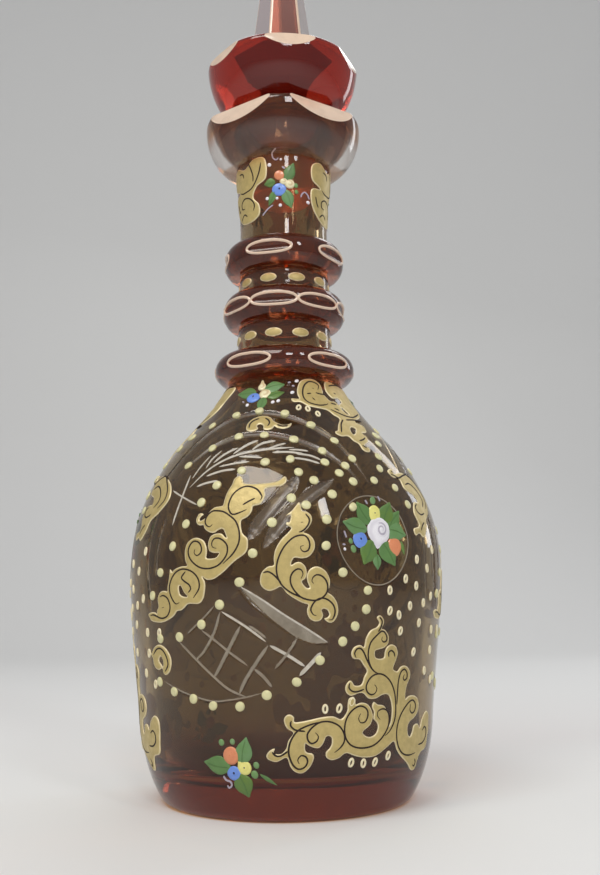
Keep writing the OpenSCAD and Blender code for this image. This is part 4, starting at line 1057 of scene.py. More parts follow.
SHOULDER = (26, [(-8, 149), (-8, 151), (-7, 154), (-5, 157), (-2, 158.3), (1, 158.2), (3, 156.5), (3.3, 154),
                 (3, 152), (4, 150), (5, 149), (7, 149), (8.5, 147.5), (9, 148), (11, 149.5), (10, 151),
                 (7, 150.5), (5.5, 152), (4.8, 154), (5.5, 157), (7, 158.3), (10, 158), (14, 157), (17.3, 156),
                 (18.6, 150), (19.5, 146), (18, 143.5), (15, 142), (13, 140.5), (16, 139.5), (16.8, 138),
                 (16, 136.3), (14, 135.8), (13, 135.5), (14.3, 134), (14, 132), (12, 130.7), (11, 130),
                 (12.8, 129), (12.5, 127.6), (10.5, 127.3), (9, 128.3), (8.5, 130.3), (6.5, 131.5), (5, 133.3),
                 (2, 133), (0, 134), (0.3, 135), (1.5, 135.5), (3, 138), (5.3, 141), (3.5, 142.5), (1.5, 144.5),
                 (-3, 145.3), (-6, 146), (-8, 147.5), (-10.5, 147.5), (-10.8, 149)],
            [[(7.4, 135.2), (8, 137), (9.3, 137.8), (10.8, 137.3), (10.2, 136), (9, 134.8), (8, 134.3)],
              [(9, 146.3), (9.8, 146.6), (11, 145.2), (11.8, 144), (11, 143.8), (9.8, 144.6)]],
             [[(1, 153.5), (2, 155.5), (0.5, 156.8), (-2, 156.8), (-4.5, 154.5), (-6, 151), (-6, 148.5),
               (-4.5, 147), (-1, 146.3), (2.5, 147), (3, 147.5)],
              [(-4.3, 151.2), (-2.5, 151.6)], [(-2.8, 149.6), (-2, 148.4)], [(-1.2, 154), (-0.6, 153.8)],
              [(-0.5, 152), (1.5, 151.6), (3.5, 151.7)], [(4.5, 147.8), (7, 147.5)], [(5.2, 145.6), (7, 144.8)],
              [(3, 144.8), (8, 142.8), (12, 142.4), (15, 143.4), (18, 145)],
              [(8, 140.6), (12, 141.2), (17, 141.5)], [(6.5, 140.5), (4.6, 138.6), (3.2, 136), (2.5, 134.5)],
              [(8.3, 153), (9.5, 152.8)], [(7, 156), (10, 157), (14, 157.5)],
              [(9.2, 131.6), (11.6, 132.4), (13, 133.4)], [(9.6, 129.8), (11.4, 128.8)]])
SIDE = (57, [(-9.5, 120.5), (-6, 121.5), (-6.5, 119.5), (0, 120.6), (6, 119), (12, 115.5), (14.5, 110.5),
             (11, 106), (6, 103), (4, 99.5), (0, 96.2), (-3, 97.5), (-6, 96.6), (-6.5, 99), (-2, 100.5),
             (-3.5, 105), (-1, 109), (3, 109.5), (1.5, 112), (-4, 114), (-4.5, 117.5), (-8.5, 118.3)], [],
        [[(-9, 119), (-7, 118.6), (-5, 118), (0, 119.5), (4, 120), (8, 117.2), (11.4, 113.6), (12, 110), (9, 107.4)],
          [(-2.5, 115.6), (1, 116.4), (4.5, 115.2), (7.4, 112.6), (8, 110), (5.6, 107.8)],
          [(5, 105.4), (1.6, 104.6), (-1, 105.6), (-1.4, 107.4), (0.4, 108.4)],
          [(2.4, 101.8), (0, 100.4), (-1.6, 98.6)], [(-8, 120.4), (-7, 119.9)]])
NECK = (-53, [(10, 251), (10.2, 243), (6, 240), (4, 236), (6.5, 232.5), (6.3, 228), (2, 225.9), (-4, 227),
              (-8.5, 232), (-9.5, 239), (-5, 240.5), (-9.5, 243), (-10, 249), (-6, 251.3), (0, 249), (5, 251.8)], [],
        [[(8.6, 249.5), (7.6, 245.5), (5.6, 241.8), (3, 239.6), (-1.5, 239.2), (-4, 240.2)],
          [(2.2, 251), (3.2, 249.4), (4.2, 247), (4.8, 244.5), (4.6, 242.5)],
          [(-4, 248), (-2, 247.7), (-1, 247), (-0.7, 245.5)],
          [(-4.5, 228.5), (-3.5, 229.5), (-2, 230.4), (-0.5, 229.6), (0, 228.9)],
          [(3.8, 230.5), (4.4, 233), (2.4, 235.8), (-1, 236.8), (-3.6, 235.4), (-3.4, 233.2), (-1.4, 232.8)],
          [(-7.4, 236.5), (-6.6, 234), (-5.6, 232.4)]])
CREST = (-11, [(-6.7, 136), (-6.6, 138), (-5.3, 139.9), (-3, 141.1), (-0.6, 141.3), (1.7, 140.5), (3.4, 138.7),
               (6.3, 137.2), (8.4, 137.1), (9.8, 137.8), (9.5, 136.3), (7.4, 135.4), (5, 135.9), (3.8, 136.6),
               (3.3, 135.5), (1.7, 135), (0, 135.4), (-0.2, 136.8), (-1.4, 137.7), (-2.5, 137.4), (-2.7, 136.6),
               (-2, 135.9), (-2.8, 134.9), (-4.4, 134.6), (-5.9, 135)], [],
         [[(-5.4, 135.9), (-5.5, 137.6), (-4.4, 139.1), (-2.3, 140)],
          [(-0.2, 140.1), (1.2, 139.2), (1.9, 137.8), (1.4, 136.5)],
          [(4.8, 137), (6.8, 136.3), (8.7, 136.5)]])

# A small curl that the front alone has
CURL = (-50, [(-5.9, 56.2), (-5.3, 55.3), (-3.1, 57.7), (0.4, 58.9), (3.8, 57.9), (6.1, 55.6),
            (6.8, 53.1), (5.6, 50), (3.2, 48.5), (1.8, 49.3), (1.5, 50.6), (0.5, 50.6), (-0.8, 50.1),
            (-2.8, 50.6), (-4, 51.9), (-4.3, 53.8), (-5.2, 54.8)],
        [[(-0.3, 53.9), (0.9, 54.9), (2, 54), (2.3, 52.3), (1.7, 51.2), (0.7, 52.2), (-0.3, 53)]],
        [[(-3.4, 55.4), (-1.3, 57.1), (1, 57.7), (3.2, 56.7), (4.7, 54.6), (5.2, 52.4), (4.4, 51), (3.1, 49.7)]])

SCROLLS = [
    ("gold_rising", "gold_scroll_rising", RISING),
    ("gold_falling", "gold_scroll_falling", FALLING),
    ("gold_foot", "gold_scroll_foot", FOOT),
    ("gold_shoulder", "gold_scroll_shoulder", SHOULDER),
    ("gold_side", "gold_scroll_side", SIDE),
    ("gold_neck", "gold_scroll_neck", NECK),
    ("gold_bow", "gold_crest", CREST),
]


class DECANTER_OT_gold(bpy.types.Operator):
    """Lays the raised gold scrolls with their contour lines, three times round"""
    bl_idname = "decanter.gold"
    bl_label = "Gold scrolls"

    def execute(self, context):
        top = sizes().gold_height / MM
        line = sizes().line_width / MM
        for name, cad, (facing, outline, holes, lines) in SCROLLS:
            bm = bmesh.new()
            bm.verts.layers.float.new("edge")
            loops = [through(outline, 0.6, True)] + [through(h, 0.5, True) for h in holes]
            plate(bm, loops, on_glass, facing, top)
            for points in lines:
                stroke(bm, points, line, on_glass, facing, top + 0.05)
            repeat_round(bm)
            if name == "gold_foot":
                facing, outline, holes, lines = CURL
                plate(bm, [through(loop, 0.5, True) for loop in [outline] + holes], on_glass, facing, top)
                for points in lines:
                    stroke(bm, points, line, on_glass, facing, top + 0.05)
            finish_piece(name, bm, [gold_paste(), contour_line()], "bottle", [cad], 60)
        return {"FINISHED"}


def oval(a, b, steps=22):
    return [(a / 2 * math.cos(math.tau * i / steps), b / 2 * math.sin(math.tau * i / steps)) for i in range(steps)]


class DECANTER_OT_ovals(bpy.types.Operator):
    """Lays the two bands of gold ovals between the neck rings"""
    bl_idname = "decanter.ovals"
    bl_label = "Neck ovals"

    def execute(self, context):
        bm = bmesh.new()
        bm.verts.layers.float.new("edge")
        top = sizes().gold_height / MM
        for z, count, first in ((201.1, 10, -20), (178.2, 11, -13)):
            for k in range(count):
                az = first + 360 / count * k
                shape = [(x, z + y) for x, y in oval(7.0, 3.6)]
                plate(bm, [shape], on_glass, az, top, grid=1.0)
        finish_piece("gold_ovals", bm, [gold_paste()], "bottle", ["gold_neck_ovals"], 60)
        return {"FINISHED"}


# Beads and small rings

OUTER_BEADS = [(-60, 136), (-47, 139.5), (-32, 143), (-16.5, 144), (0, 142.5), (14, 137.5), (23.5, 131), (29, 124)]
INNER_BEADS = [(-45, 123), (-35, 129), (-23, 133), (-10, 133), (4, 131), (16, 126.5), (24.5, 121)]
THIRD_BEADS = [(-31, 108), (-26, 114), (-17, 119), (-8, 122), (2, 123), (16, 122), (21, 118)]
LOOSE_BEADS = [(5, 118), (10.5, 115), (16.6, 110), (2, 108.5), (7, 106), (-4.5, 100), (13.7, 101), (13, 92),
               (-10.6, 89.6), (18.5, 83), (-15, 80), (-22, 72.6), (24, 106),
               (-36, 100.6), (-41, 93), (-47, 84), (-52, 76),
               (27.5, 77), (27, 70.6), (23, 65), (18.7, 60), (11, 54), (3.3, 47), (-6.7, 42.8), (-16, 39),
               (-26, 39), (-34, 41), (-43, 43), (-51, 46), (-29, 66), (-38.6, 61.7), (-48.6, 61),
               (26, 115), (36, 116), (46.5, 114), (51, 108), (58, 136), (53, 132), (45.5, 126), (42, 121)]
RING_PLACES = [(50.5, 88), (63, 92), (57.6, 85), (44, 81), (50, 78.6), (36.5, 77), (61, 75), (55, 72.6),
               (46.6, 71.6), (41, 68.5), (36.7, 70), (52.5, 65.6), (42, 63), (63, 63), (71, 63), (50, 55.5),
               (63, 55.7), (59, 48.5), (66, 45), (13, 38), (18, 38), (22.6, 40), (28, 19.4), (33, 19.4),
              (23, 20), (39, 21), (9, 145), (15, 144.6), (20.6, 142.5)]


def dome_shape(r, h, foot, steps=12):
    """A low round bead, with its foot in the glass."""
    bm = bmesh.new()
    chain = [bm.verts.new(p) for p in ((0, 0, foot), (r, 0, foot), (r, 0, h * 0.25), (r * 0.86, 0, h * 0.68),
                                       (r * 0.5, 0, h * 0.94), (0, 0, h))]
    edges = [bm.edges.new(pair) for pair in zip(chain, chain[1:])]
    bmesh.ops.spin(bm, geom=chain + edges, cent=(0, 0, 0), axis=(0, 0, 1), angle=math.tau, steps=steps,
                   use_merge=True)
    bmesh.ops.remove_doubles(bm, verts=bm.verts[:], dist=1e-4)
    bmesh.ops.recalc_face_normals(bm, faces=bm.faces[:])
    mesh = bpy.data.meshes.new("bead")
    bm.to_mesh(mesh)
    bm.free()
    return mesh


def hoop_shape(width, height, thick, relief, steps=14):
    """A small oval hoop of paste."""
    bm = bmesh.new()
    made = []
    for i in range(steps):
        a = math.tau * i / steps
        out = Vector((math.cos(a), math.sin(a), 0))
        middle = Vector(((width - thick) / 2 * math.cos(a), (height - thick) / 2 * math.sin(a), 0))
        ring = [bm.verts.new(middle + out * (thick / 2 * s) + Vector((0, 0, h)))
                for s, h in ((1, -0.12), (0.75, relief * 0.7), (0, relief), (-0.75, relief * 0.7), (-1, -0.12))]
        made.append([bm.edges.new((ring[k], ring[(k + 1) % 5])) for k in range(5)])
    for i in range(steps):
        bmesh.ops.bridge_loops(bm, edges=made[i] + made[(i + 1) % steps])
    bmesh.ops.recalc_face_normals(bm, faces=bm.faces[:])
    mesh = bpy.data.meshes.new("hoop")
    bm.to_mesh(mesh)
    bm.free()
    return mesh


def resting(az, z, roll):
    """Matrix that stands a bead on the glass, or on a roundel's floor where one is under it."""
    place = stand_on(ROUNDEL_AZ, ROUNDEL_Z).inverted() @ Vector(on_body(az, z))
    drop = 0.0
    if math.hypot(place.x, place.y) < ROUNDEL_R and place.z > -20:
        drop = max(0.0, place.z - float(roundel_floor(place.x, place.y)))
    return stand_on(az, z, -drop, roll)


def set_down(bm, mesh, matrix):
    bm.verts.ensure_lookup_table()
    before = len(bm.verts)
    bm.from_mesh(mesh)
    bm.verts.ensure_lookup_table()
    bmesh.ops.transform(bm, matrix=matrix, verts=bm.verts[before:])


class DECANTER_OT_beads(bpy.types.Operator):
    """Sets the cream beads in their arches and rows"""
    bl_idname = "decanter.beads"
    bl_label = "Cream beads"

    def execute(self, context):
        r, h = sizes().bead_radius / MM, sizes().bead_height / MM
        chance = random.Random(7)
        cream = tuple(colours().cream)
        paste = fired_finish("Cream paste", cream, tuple(v * 0.78 for v in cream), 0.35, size=500.0, bump=0.2,
                             coat=0.2)
        for name, cad, places, foot in (
                ("bead_bows", "bead_arches", OUTER_BEADS + INNER_BEADS + THIRD_BEADS, -0.95),
                ("bead_rows", "bead_borders", LOOSE_BEADS, -0.3)):
            bm = bmesh.new()
            for k in range(REPEATS):
                for az, z in places:
                    s = chance.uniform(0.93, 1.0)
                    mesh = dome_shape(r * s, h * chance.uniform(0.85, 1.0), foot)
                    squash = Matrix.Diagonal((1, chance.uniform(0.9, 1.0), 1, 1))
                    turn = Matrix.Rotation(math.tau * k / REPEATS, 4, "Z")
                    set_down(bm, mesh, turn @ resting(az, z, chance.uniform(0, 180)) @ squash)
                    bpy.data.meshes.remove(mesh)
            finish_piece(name, bm, [paste], "bottle", [cad], 60)
        return {"FINISHED"}


class DECANTER_OT_hoops(bpy.types.Operator):
    """Sets the small oval rings of gold paste"""
    bl_idname = "decanter.hoops"
    bl_label = "Small gold rings"

    def execute(self, context):
        chance = random.Random(11)
        paste = fired_finish("Pale gold paste", (0.86, 0.8, 0.58), tuple(colours().rim), 0.4, 0.05,
                             size=600.0, bump=0.2)
        bm = bmesh.new()
        for k in range(REPEATS):
            for az, z in RING_PLACES:
                mesh = hoop_shape(2.3, 3.4, 0.85, 0.42)
                set_down(bm, mesh, stand_on(az + 360 / REPEATS * k, z, 0, chance.uniform(-18, 12)))
                bpy.data.meshes.remove(mesh)
        finish_piece("gold_hoops", bm, [paste], "bottle", ["small_gold_rings"], 60)
        return {"FINISHED"}


# Enamel

def leaf_outline(base, tip, width):
    """A pointed leaf from base to tip."""
    b, t = Vector(base), Vector(tip)
    way = t - b
    side = Vector((-way.y, way.x)).normalized() * width / 2
    shape = ((0, 0), (0.12, 0.55), (0.3, 0.93), (0.48, 1.0), (0.68, 0.76), (0.86, 0.34), (1, 0))
    left = [b + way * u + side * w for u, w in shape]
    right = [b + way * u - side * w for u, w in shape[1:-1]]
    return [tuple(p) for p in left + right[::-1]]


# Leaves of a spray: where it is drawn from, then each leaf's base and tip as (across, height), and width
LEAF_SPRAYS = [
    (on_roundel, ROUNDEL_AZ, [
        ((0.2, 100.2), (-5.8, 107.9), 6.4), ((-1.6, 98.2), (-12.3, 100.7), 6.2),
        ((5.2, 100.2), (8.6, 108.4), 6.6), ((7.0, 98.4), (12.4, 105.4), 5.6), ((6.4, 99.0), (14.6, 96.6), 7.4),
        ((0.2, 94.6), (-4.7, 86.0), 7.2), ((4.2, 94.6), (8.6, 85.6), 7.2), ((1.3, 90.0), (1.0, 84.2), 3.6),
        ((12.3, 94.6), (13.0, 89.6), 1.5)]),
    (on_glass, -18.5, [
        ((-1.6, 18.9), (-11.6, 20.4), 6.2), ((2.4, 20.0), (4.3, 29.1), 5.8), ((1.2, 17.2), (3.8, 9.2), 6.6),
        ((8.3, 17.1), (13.6, 13.4), 1.3)]),
    (on_glass, -19.5, [
        ((-1.8, 152.4), (-10.3, 152.6), 4.8), ((1.2, 153.6), (8.5, 155.4), 5.0),
        ((3.2, 149.8), (9.2, 151.9), 3.6), ((1.9, 150.2), (1.8, 143.8), 3.8)]),
    (on_glass, -4.0, [
        ((2.2, 240.6), (5.6, 248.6), 4.6), ((1.8, 237.6), (4.5, 229.8), 4.8),
        ((-1.8, 240.8), (-6.6, 240.0), 3.8), ((-1.8, 237.6), (-4.7, 231.0), 2.8)]),
]
# Buds: where they are drawn from, across, height and radius
BUDS = [(on_roundel, ROUNDEL_AZ, 1.4, 108.7, 1.2), (on_roundel, ROUNDEL_AZ, -9.3, 94.1, 0.9),
        (on_roundel, ROUNDEL_AZ, -8.4, 91.4, 1.2), (on_glass, -18.5, -0.6, 27.5, 0.9),
        (on_glass, -18.5, -4.6, 27.1, 1.0), (on_glass, -18.5, 7.3, 20.0, 1.0), (on_glass, -18.5, 6.5, 16.9, 1.2),
        (on_glass, -4.0, 6.3, 239.3, 0.9), (on_glass, -4.0, 6.5, 236.7, 0.8)]
# Fine white brush strokes: where they are drawn from, width and points
TOUCHES = [
    (on_roundel, ROUNDEL_AZ, 0.6, [(-2.0, 108.7), (-1.1, 107.4)]),
    (on_roundel, ROUNDEL_AZ, 0.5, [(3.5, 110.3), (4.4, 108.6)]),
    (on_roundel, ROUNDEL_AZ, 0.6, [(-12.0, 97.5), (-11.2, 95.2)]),
    (on_roundel, ROUNDEL_AZ, 0.6, [(-13.2, 92.8), (-12.0, 92.7)]),
    (on_glass, -18.5, 0.55, [(-4.5, 16.1), (-3.7, 14.8), (-2.2, 14.3), (-1.8, 13.1), (-2.9, 12.2), (-3.4, 13)]),
    (on_glass, -4.0, 0.5, [(-1.5, 256.1), (-2.8, 254.3), (-3.1, 252.5), (-2.7, 250.6), (-1.4, 249.8),
                           (-0.6, 250.7)]),
    (on_glass, -4.0, 0.6, [(0.9, 246.9), (2.0, 246.0)]),
    (on_glass, -4.0, 0.45, [(-2.9, 231.2), (-5.1, 229.7), (-7.2, 227.4)]),
    (on_glass, -4.0, 0.5, [(8.2, 234.7), (8.6, 236.1), (9.7, 237.0), (10.8, 236.1), (11.4, 234.5)]),
    (on_glass, -19.5, 0.6, [(9.4, 156.2), (10.4, 156.4)]), (on_glass, -19.5, 0.6, [(11.1, 154.9), (12.0, 154.6)]),
    (on_glass, -19.5, 0.6, [(-6.6, 148.7), (-5.8, 148.2)]),
]
# White dots: where they are drawn from, across, height and radius
DOTS = [(on_roundel, ROUNDEL_AZ, -12.3, 91.2, 0.6), (on_glass, -4.0, 0.4, 250.0, 0.5),
        (on_glass, -4.0, -4.3, 248.0, 0.8), (on_glass, -4.0, -5.3, 234.2, 0.7), (on_glass, -4.0, -1.3, 233.9, 0.6),
        (on_glass, -4.0, 0.0, 231.0, 0.7), (on_glass, -4.0, 11.0, 233.2, 0.7), (on_glass, -19.5, 5.9, 147.6, 0.7),
        (on_glass, -19.5, 7.8, 148.1, 0.7), (on_glass, -19.5, 12.3, 157.2, 0.7), (on_glass, -19.5, 11.9, 151.9, 0.7),
        (on_glass, -19.5, -4.1, 147.0, 0.7)]


class DECANTER_OT_leaves(bpy.types.Operator):
    """Paints the green leaves and buds, the broader leaves with a vein"""
    bl_idname = "decanter.leaves"
    bl_label = "Leaves"

    def execute(self, context):
        bm = bmesh.new()
        bm.verts.layers.float.new("edge")
        for laid, az, leaves in LEAF_SPRAYS:
            for number, (base, tip, width) in enumerate(leaves):
                outline = through(leaf_outline(base, tip, width), 0.5, True)
                plate(bm, [outline], laid, az, 0.26 + 0.05 * (number % 3), grid=0.8, material=number % 3,
                      puff=0.1)
                b, t = Vector(base), Vector(tip)
                way = t - b
                bow = Vector((-way.y, way.x)) * 0.04
                if width > 2.5:
                    vein = [tuple(b + way * 0.1), tuple(b + way * 0.5 + bow), tuple(b + way * 0.88)]
                    stroke(bm, vein, 0.26, laid, az, 0.43 + 0.05 * (number % 3), 0.2, material=3)
        for laid, az, x, z, r in BUDS:
            bloom(bm, laid, az, x, z, r, r * 1.15, 0.35, 2, 0, 0, 4)
        repeat_round(bm)
        leaf = Vector(colours().leaf)
        cool = (leaf.x * 1.25, leaf.y * 1.12, leaf.z * 1.7)
        warm = (leaf.x * 1.05, leaf.y * 0.86, leaf.z * 0.45)
        bud = (leaf.x * 1.7, leaf.y * 1.25, leaf.z * 2.2)
        finish_piece("leaves", bm, [
            fired_finish("Leaf enamel", tuple(leaf), tuple(leaf * 0.78), 0.38, size=160.0, bump=0.2, coat=0.2),
            fired_finish("Cool leaf enamel", cool, tuple(leaf), 0.38, size=160.0, bump=0.2, coat=0.2),
            fired_finish("Warm leaf enamel", warm, tuple(leaf * 0.8), 0.38, size=160.0, bump=0.2, coat=0.2),
            fired_finish("Leaf vein", tuple(leaf * 0.62), tuple(leaf * 0.8), 0.4),
            fired_finish("Bud enamel", bud, tuple(leaf * 1.2), 0.4, size=300.0, bump=0.2),
        ], "bottle", ["enamel_leaves"], 60)
        return {"FINISHED"}


def bloom(bm, laid, az, x, z, rx, rz, height, swirl, turns, depth, material=0, shade=0.6, tip=0, point=0.0,
          foot=-0.12):
    """A painted flower: a low dome whose brush strokes wind round its middle, drawn out to a tip."""
    part = bmesh.new()
    layer = part.verts.layers.float.new("edge")
    rings = 9 if rx > 1.5 else 4
    chain = [part.verts.new((i / rings, 0, 0)) for i in range(rings + 1)]
    edges = [part.edges.new(pair) for pair in zip(chain, chain[1:])]
    bmesh.ops.spin(part, geom=chain + edges, cent=(0, 0, 0), axis=(0, 1, 0), angle=math.tau,
                   steps=36 if rx > 1.5 else 14, use_merge=True)
    bmesh.ops.remove_doubles(part, verts=part.verts[:], dist=1e-5)
    grown = bmesh.ops.extrude_face_region(part, geom=part.faces[:], use_keep_orig=True)["geom"]
    upper = {v for v in grown if isinstance(v, bmesh.types.BMVert)}
    for v in part.verts:
        r = math.hypot(v.co.x, v.co.z)
        a = math.atan2(v.co.z, v.co.x)
        wave = math.cos(swirl * a - turns * math.tau * r)
        wobble = 1 + 0.04 * math.cos(swirl * a + 1.3)
        wobble += point * r * max(0, math.cos(a - math.radians(tip))) ** 20
        up = foot
        v[layer] = 1 - shade * 0.5
        if v in upper:
            up = height * (1 - 0.55 * r ** 3)
            if r < 0.98:
                up += depth * (wave - 1) * 0.5 * min(1, 2 * r)
                v[layer] = 1 - shade * (0.5 - 0.5 * wave) * min(1, 3 * r)
            else:
                up *= 0.45
        v.co = laid(x + v.co.x * rx * wobble, z + v.co.z * rz * wobble, up, az)
    for f in part.faces:
        f.material_index = material
    pour(part, bm)


def petal_finish(name, colour, groove, coat=0.3):
    """Enamel whose colour deepens with the brush strokes."""
    return fired_finish(name, colour, tuple(v * 0.93 for v in colour), 0.3, rim=groove, rim_width=1.0,
                        size=300.0, bump=0.12, coat=coat)


# Flowers: where they are drawn from, across, height, half width, half height, way to the tip, its reach
BLUE = [(on_roundel, ROUNDEL_AZ, -5.1, 94.8, 3.1, 3.0, 0, 0), (on_glass, -18.5, -0.6, 17.2, 2.5, 2.4, 0, 0),
        (on_glass, -19.5, -2.5, 150.1, 2.7, 2.1, 0, 0), (on_glass, -4.0, -0.4, 237.5, 2.9, 2.6, 0, 0)]
ORANGE = [(on_roundel, ROUNDEL_AZ, 9.3, 92.9, 2.8, 3.2, -80, 0.15), (on_glass, -18.5, -1.3, 23, 2.8, 3.0, 0, 0),
          (on_glass, -4.0, -0.3, 243.4, 2.1, 2.0, 0, 0)]
YELLOW = [(on_roundel, ROUNDEL_AZ, 1.8, 104.1, 2.7, 3.1, 0, 0),
          (on_glass, -18.5, 3.2, 19.1, 2.4, 2.4, 130, 0.3)]
ROSES = [(on_roundel, ROUNDEL_AZ, 3.2, 98.4, 4.8, 4.9, -101, 0.36)]
HEARTS = [(on_roundel, ROUNDEL_AZ, 4.0, 98.5, 3.2, 3.5, 0, 0)]
CREAM_BLOOMS = [(on_glass, -19.5, 1.9, 151.6, 2.3, 2.1, 0, 0), (on_glass, -19.5, -0.1, 154.8, 1.6, 1.6, 98, 1.0),
                (on_glass, -4.0, 3.8, 239.8, 2.0, 1.9, 0, 0), (on_glass, -4.0, 1.4, 240.8, 1.6, 1.4, 0, 0)]


class DECANTER_OT_flowers(bpy.types.Operator):
    """Paints the rose, the small flowers and the fine white touches"""
    bl_idname = "decanter.flowers"
    bl_label = "Flowers"

    def execute(self, context):
        c = colours()
        dark = fired_finish("Flower eye", (0.02, 0.03, 0.09), (0.01, 0.01, 0.03), 0.3)
        for name, places, colour, deep, eye in (
                ("blue", BLUE, c.blue, (0.1, 0.19, 0.55), 0.55),
                ("orange", ORANGE, c.orange, (0.62, 0.2, 0.09), 0),
                ("yellow", YELLOW, c.yellow, (0.6, 0.52, 0.12), 0.36)):
            bm = bmesh.new()
            bm.verts.layers.float.new("edge")
            for laid, az, x, z, rx, rz, tip, point in places:
                bloom(bm, laid, az, x, z, rx, rz, 0.6, 1, 1.1, 0.08, 0, 0.35, tip, point)
                if eye:
                    bloom(bm, laid, az, x + 0.2 * eye, z + 0.2, eye, eye * 1.2, 0.72, 1, 0, 0, 1, foot=0.3)
            repeat_round(bm)
            finish_piece(name + "_flowers", bm, [petal_finish(name + " enamel", tuple(colour), deep), dark],
                         "bottle", ["enamel_" + name + "_flowers"], 60)

        bm = bmesh.new()
        bm.verts.layers.float.new("edge")
        for laid, az, x, z, rx, rz, tip, point in ROSES:
            bloom(bm, laid, az, x, z, rx, rz, 0.85, 1, 1.3, 0.14, 0, 0.4, tip, point)
        for laid, az, x, z, rx, rz, tip, point in HEARTS:
            bloom(bm, laid, az, x, z, rx, rz, 1.12, 1, 2.6, 0.3, 0, 1.0, foot=0.4)
        for laid, az, x, z, rx, rz, tip, point in CREAM_BLOOMS:
            bloom(bm, laid, az, x, z, rx, rz, 0.6, 1, 1.1, 0.12, 1, 0.8, tip, point)
        for laid, az, width, points in TOUCHES:
            stroke(bm, points, width, laid, az, 0.3, -0.1, 0, 0.5, 0.4)
        for laid, az, x, z, r in DOTS:
            bloom(bm, laid, az, x, z, r, r, 0.35, 1, 0, 0, 0, 0)
        repeat_round(bm)
        finish_piece("roses", bm, [petal_finish("White enamel", tuple(c.rose), (0.42, 0.38, 0.46)),
                                   petal_finish("Cream petals", tuple(c.bloom), (0.6, 0.45, 0.25))],
                     "bottle", ["enamel_roses"], 60)
        return {"FINISHED"}


# Stage

class DECANTER_OT_stage(bpy.types.Operator):
    """Sets the pale floor and backdrop, the soft lamps and the camera"""
    bl_idname = "decanter.stage"
    bl_label = "Stage"

    def execute(self, context):
        scene = context.scene
        bm = bmesh.new()
        profile = [(-1.6, 0), (1.0, 0)]
        for degrees in range(10, 91, 10):
            a = math.radians(degrees)
            profile.append((1.0 + 0.5 * math.sin(a), 0.5 - 0.5 * math.cos(a)))
        profile += [(1.5, 2.6)]
        chain = [bm.verts.new((-2.2, y, z)) for y, z in profile]
        edges = [bm.edges.new(pair) for pair in zip(chain, chain[1:])]
        made = bmesh.ops.extrude_edge_only(bm, edges=edges)["geom"]
        bmesh.ops.translate(bm, vec=(4.4, 0, 0), verts=[g for g in made if isinstance(g, bmesh.types.BMVert)])
        mesh = bpy.data.meshes.new("studio_floor")
        bm.to_mesh(mesh)
        bm.free()
        mesh.shade_smooth()
        floor = bpy.data.objects.new("studio_floor", mesh)
        scene.collection.objects.link(floor)
        material, tree, shader, out = empty_material("Pale studio paper")
        shader.inputs["Roughness"].default_value = 0.85
        uneven = node(tree, "ShaderNodeGroup", (-600, 0), node_tree=uneven_group())
        uneven.inputs["Size"].default_value = 3.0
        uneven.inputs["Contrast"].default_value = 0.12
        tone = tuple(colours().floor)
        tree.links.new(two_colours(tree, uneven.outputs["Mask"], tone, tuple(v * 0.93 for v in tone)),
                       shader.inputs["Base Color"])
        mesh.materials.append(material)

        world = bpy.data.worlds.new("Soft room")
        world.use_nodes = True
        back = world.node_tree.nodes["Background"]
        back.inputs[0].default_value = (0.86, 0.87, 0.9, 1)
        back.inputs[1].default_value = 0.42
        scene.world = world

        for name, place, size, power, colour in (
                ("key_lamp", (-0.5, -0.85, 1.3), (0.8, 0.6), 11.0, (1.0, 0.97, 0.92)),
                ("strip_lamp", (0.16, -1.1, 0.82), (0.2, 0.36), 2.8, (1.0, 1.0, 1.0)),
                ("side_strip_lamp", (0.56, -0.95, 0.87), (0.13, 0.34), 1.8, (1.0, 1.0, 1.0)),
                ("fill_lamp", (0.9, 0.75, 0.7), (0.2, 1.0), 2.0, (0.95, 0.97, 1.0)),
                ("back_lamp", (0.2, 0.95, 1.2), (0.9, 0.4), 3.0, (1.0, 1.0, 1.0))):
            lamp = bpy.data.lights.new(name, "AREA")
            lamp.shape = "RECTANGLE"
            lamp.size, lamp.size_y = size
            lamp.energy = power
            lamp.color = colour
            stand = bpy.data.objects.new(name, lamp)
            stand.location = place
            stand.rotation_euler = (Vector((0, 0, 0.15)) - Vector(place)).to_track_quat("-Z", "Y").to_euler()
            scene.collection.objects.link(stand)

        lens = bpy.data.cameras.new("camera")
        lens.lens = 40.57
        lens.sensor_width = 36
        lens.clip_start = 0.01
        camera = bpy.data.objects.new("camera", lens)
        pitch, yaw, roll = math.radians(90 + 9.58), math.radians(-0.88), math.radians(-0.54)
        camera.matrix_world = (Matrix.Translation((0, -0.3942, 0.0726)) @ Matrix.Rotation(yaw, 4, "Z")
                               @ Matrix.Rotation(pitch, 4, "X") @ Matrix.Rotation(roll, 4, "Z"))
        scene.collection.objects.link(camera)
        scene.camera = camera
        scene.view_settings.view_transform = "Standard"
        return {"FINISHED"}


# Settings and panel

def length(name, words, value, low, high):
    return FloatProperty(name=name, description=words, default=value, min=low, max=high,
                         unit="LENGTH", subtype="DISTANCE", precision=5)


def tint(name, words, value):
    return FloatVectorProperty(name=name, description=words, default=value, size=3, min=0, max=1,
                               subtype="COLOR")


class DecanterSizes(bpy.types.PropertyGroup):
    wall: length("Wall", "Thickness of the glass round the hollow", 0.0055, 0.004, 0.008)
    gold_height: length("Gold height", "How far the gold stands proud of the glass", 0.00036, 0.0002, 0.00042)
    line_width: length("Line width", "Width of the dark contour lines", 0.00056, 0.0002, 0.001)
    bead_radius: length("Bead radius", "Radius of a cream bead", 0.0018, 0.001, 0.0018)
    bead_height: length("Bead height", "How far a bead stands proud of the glass", 0.0006, 0.0002, 0.0006)


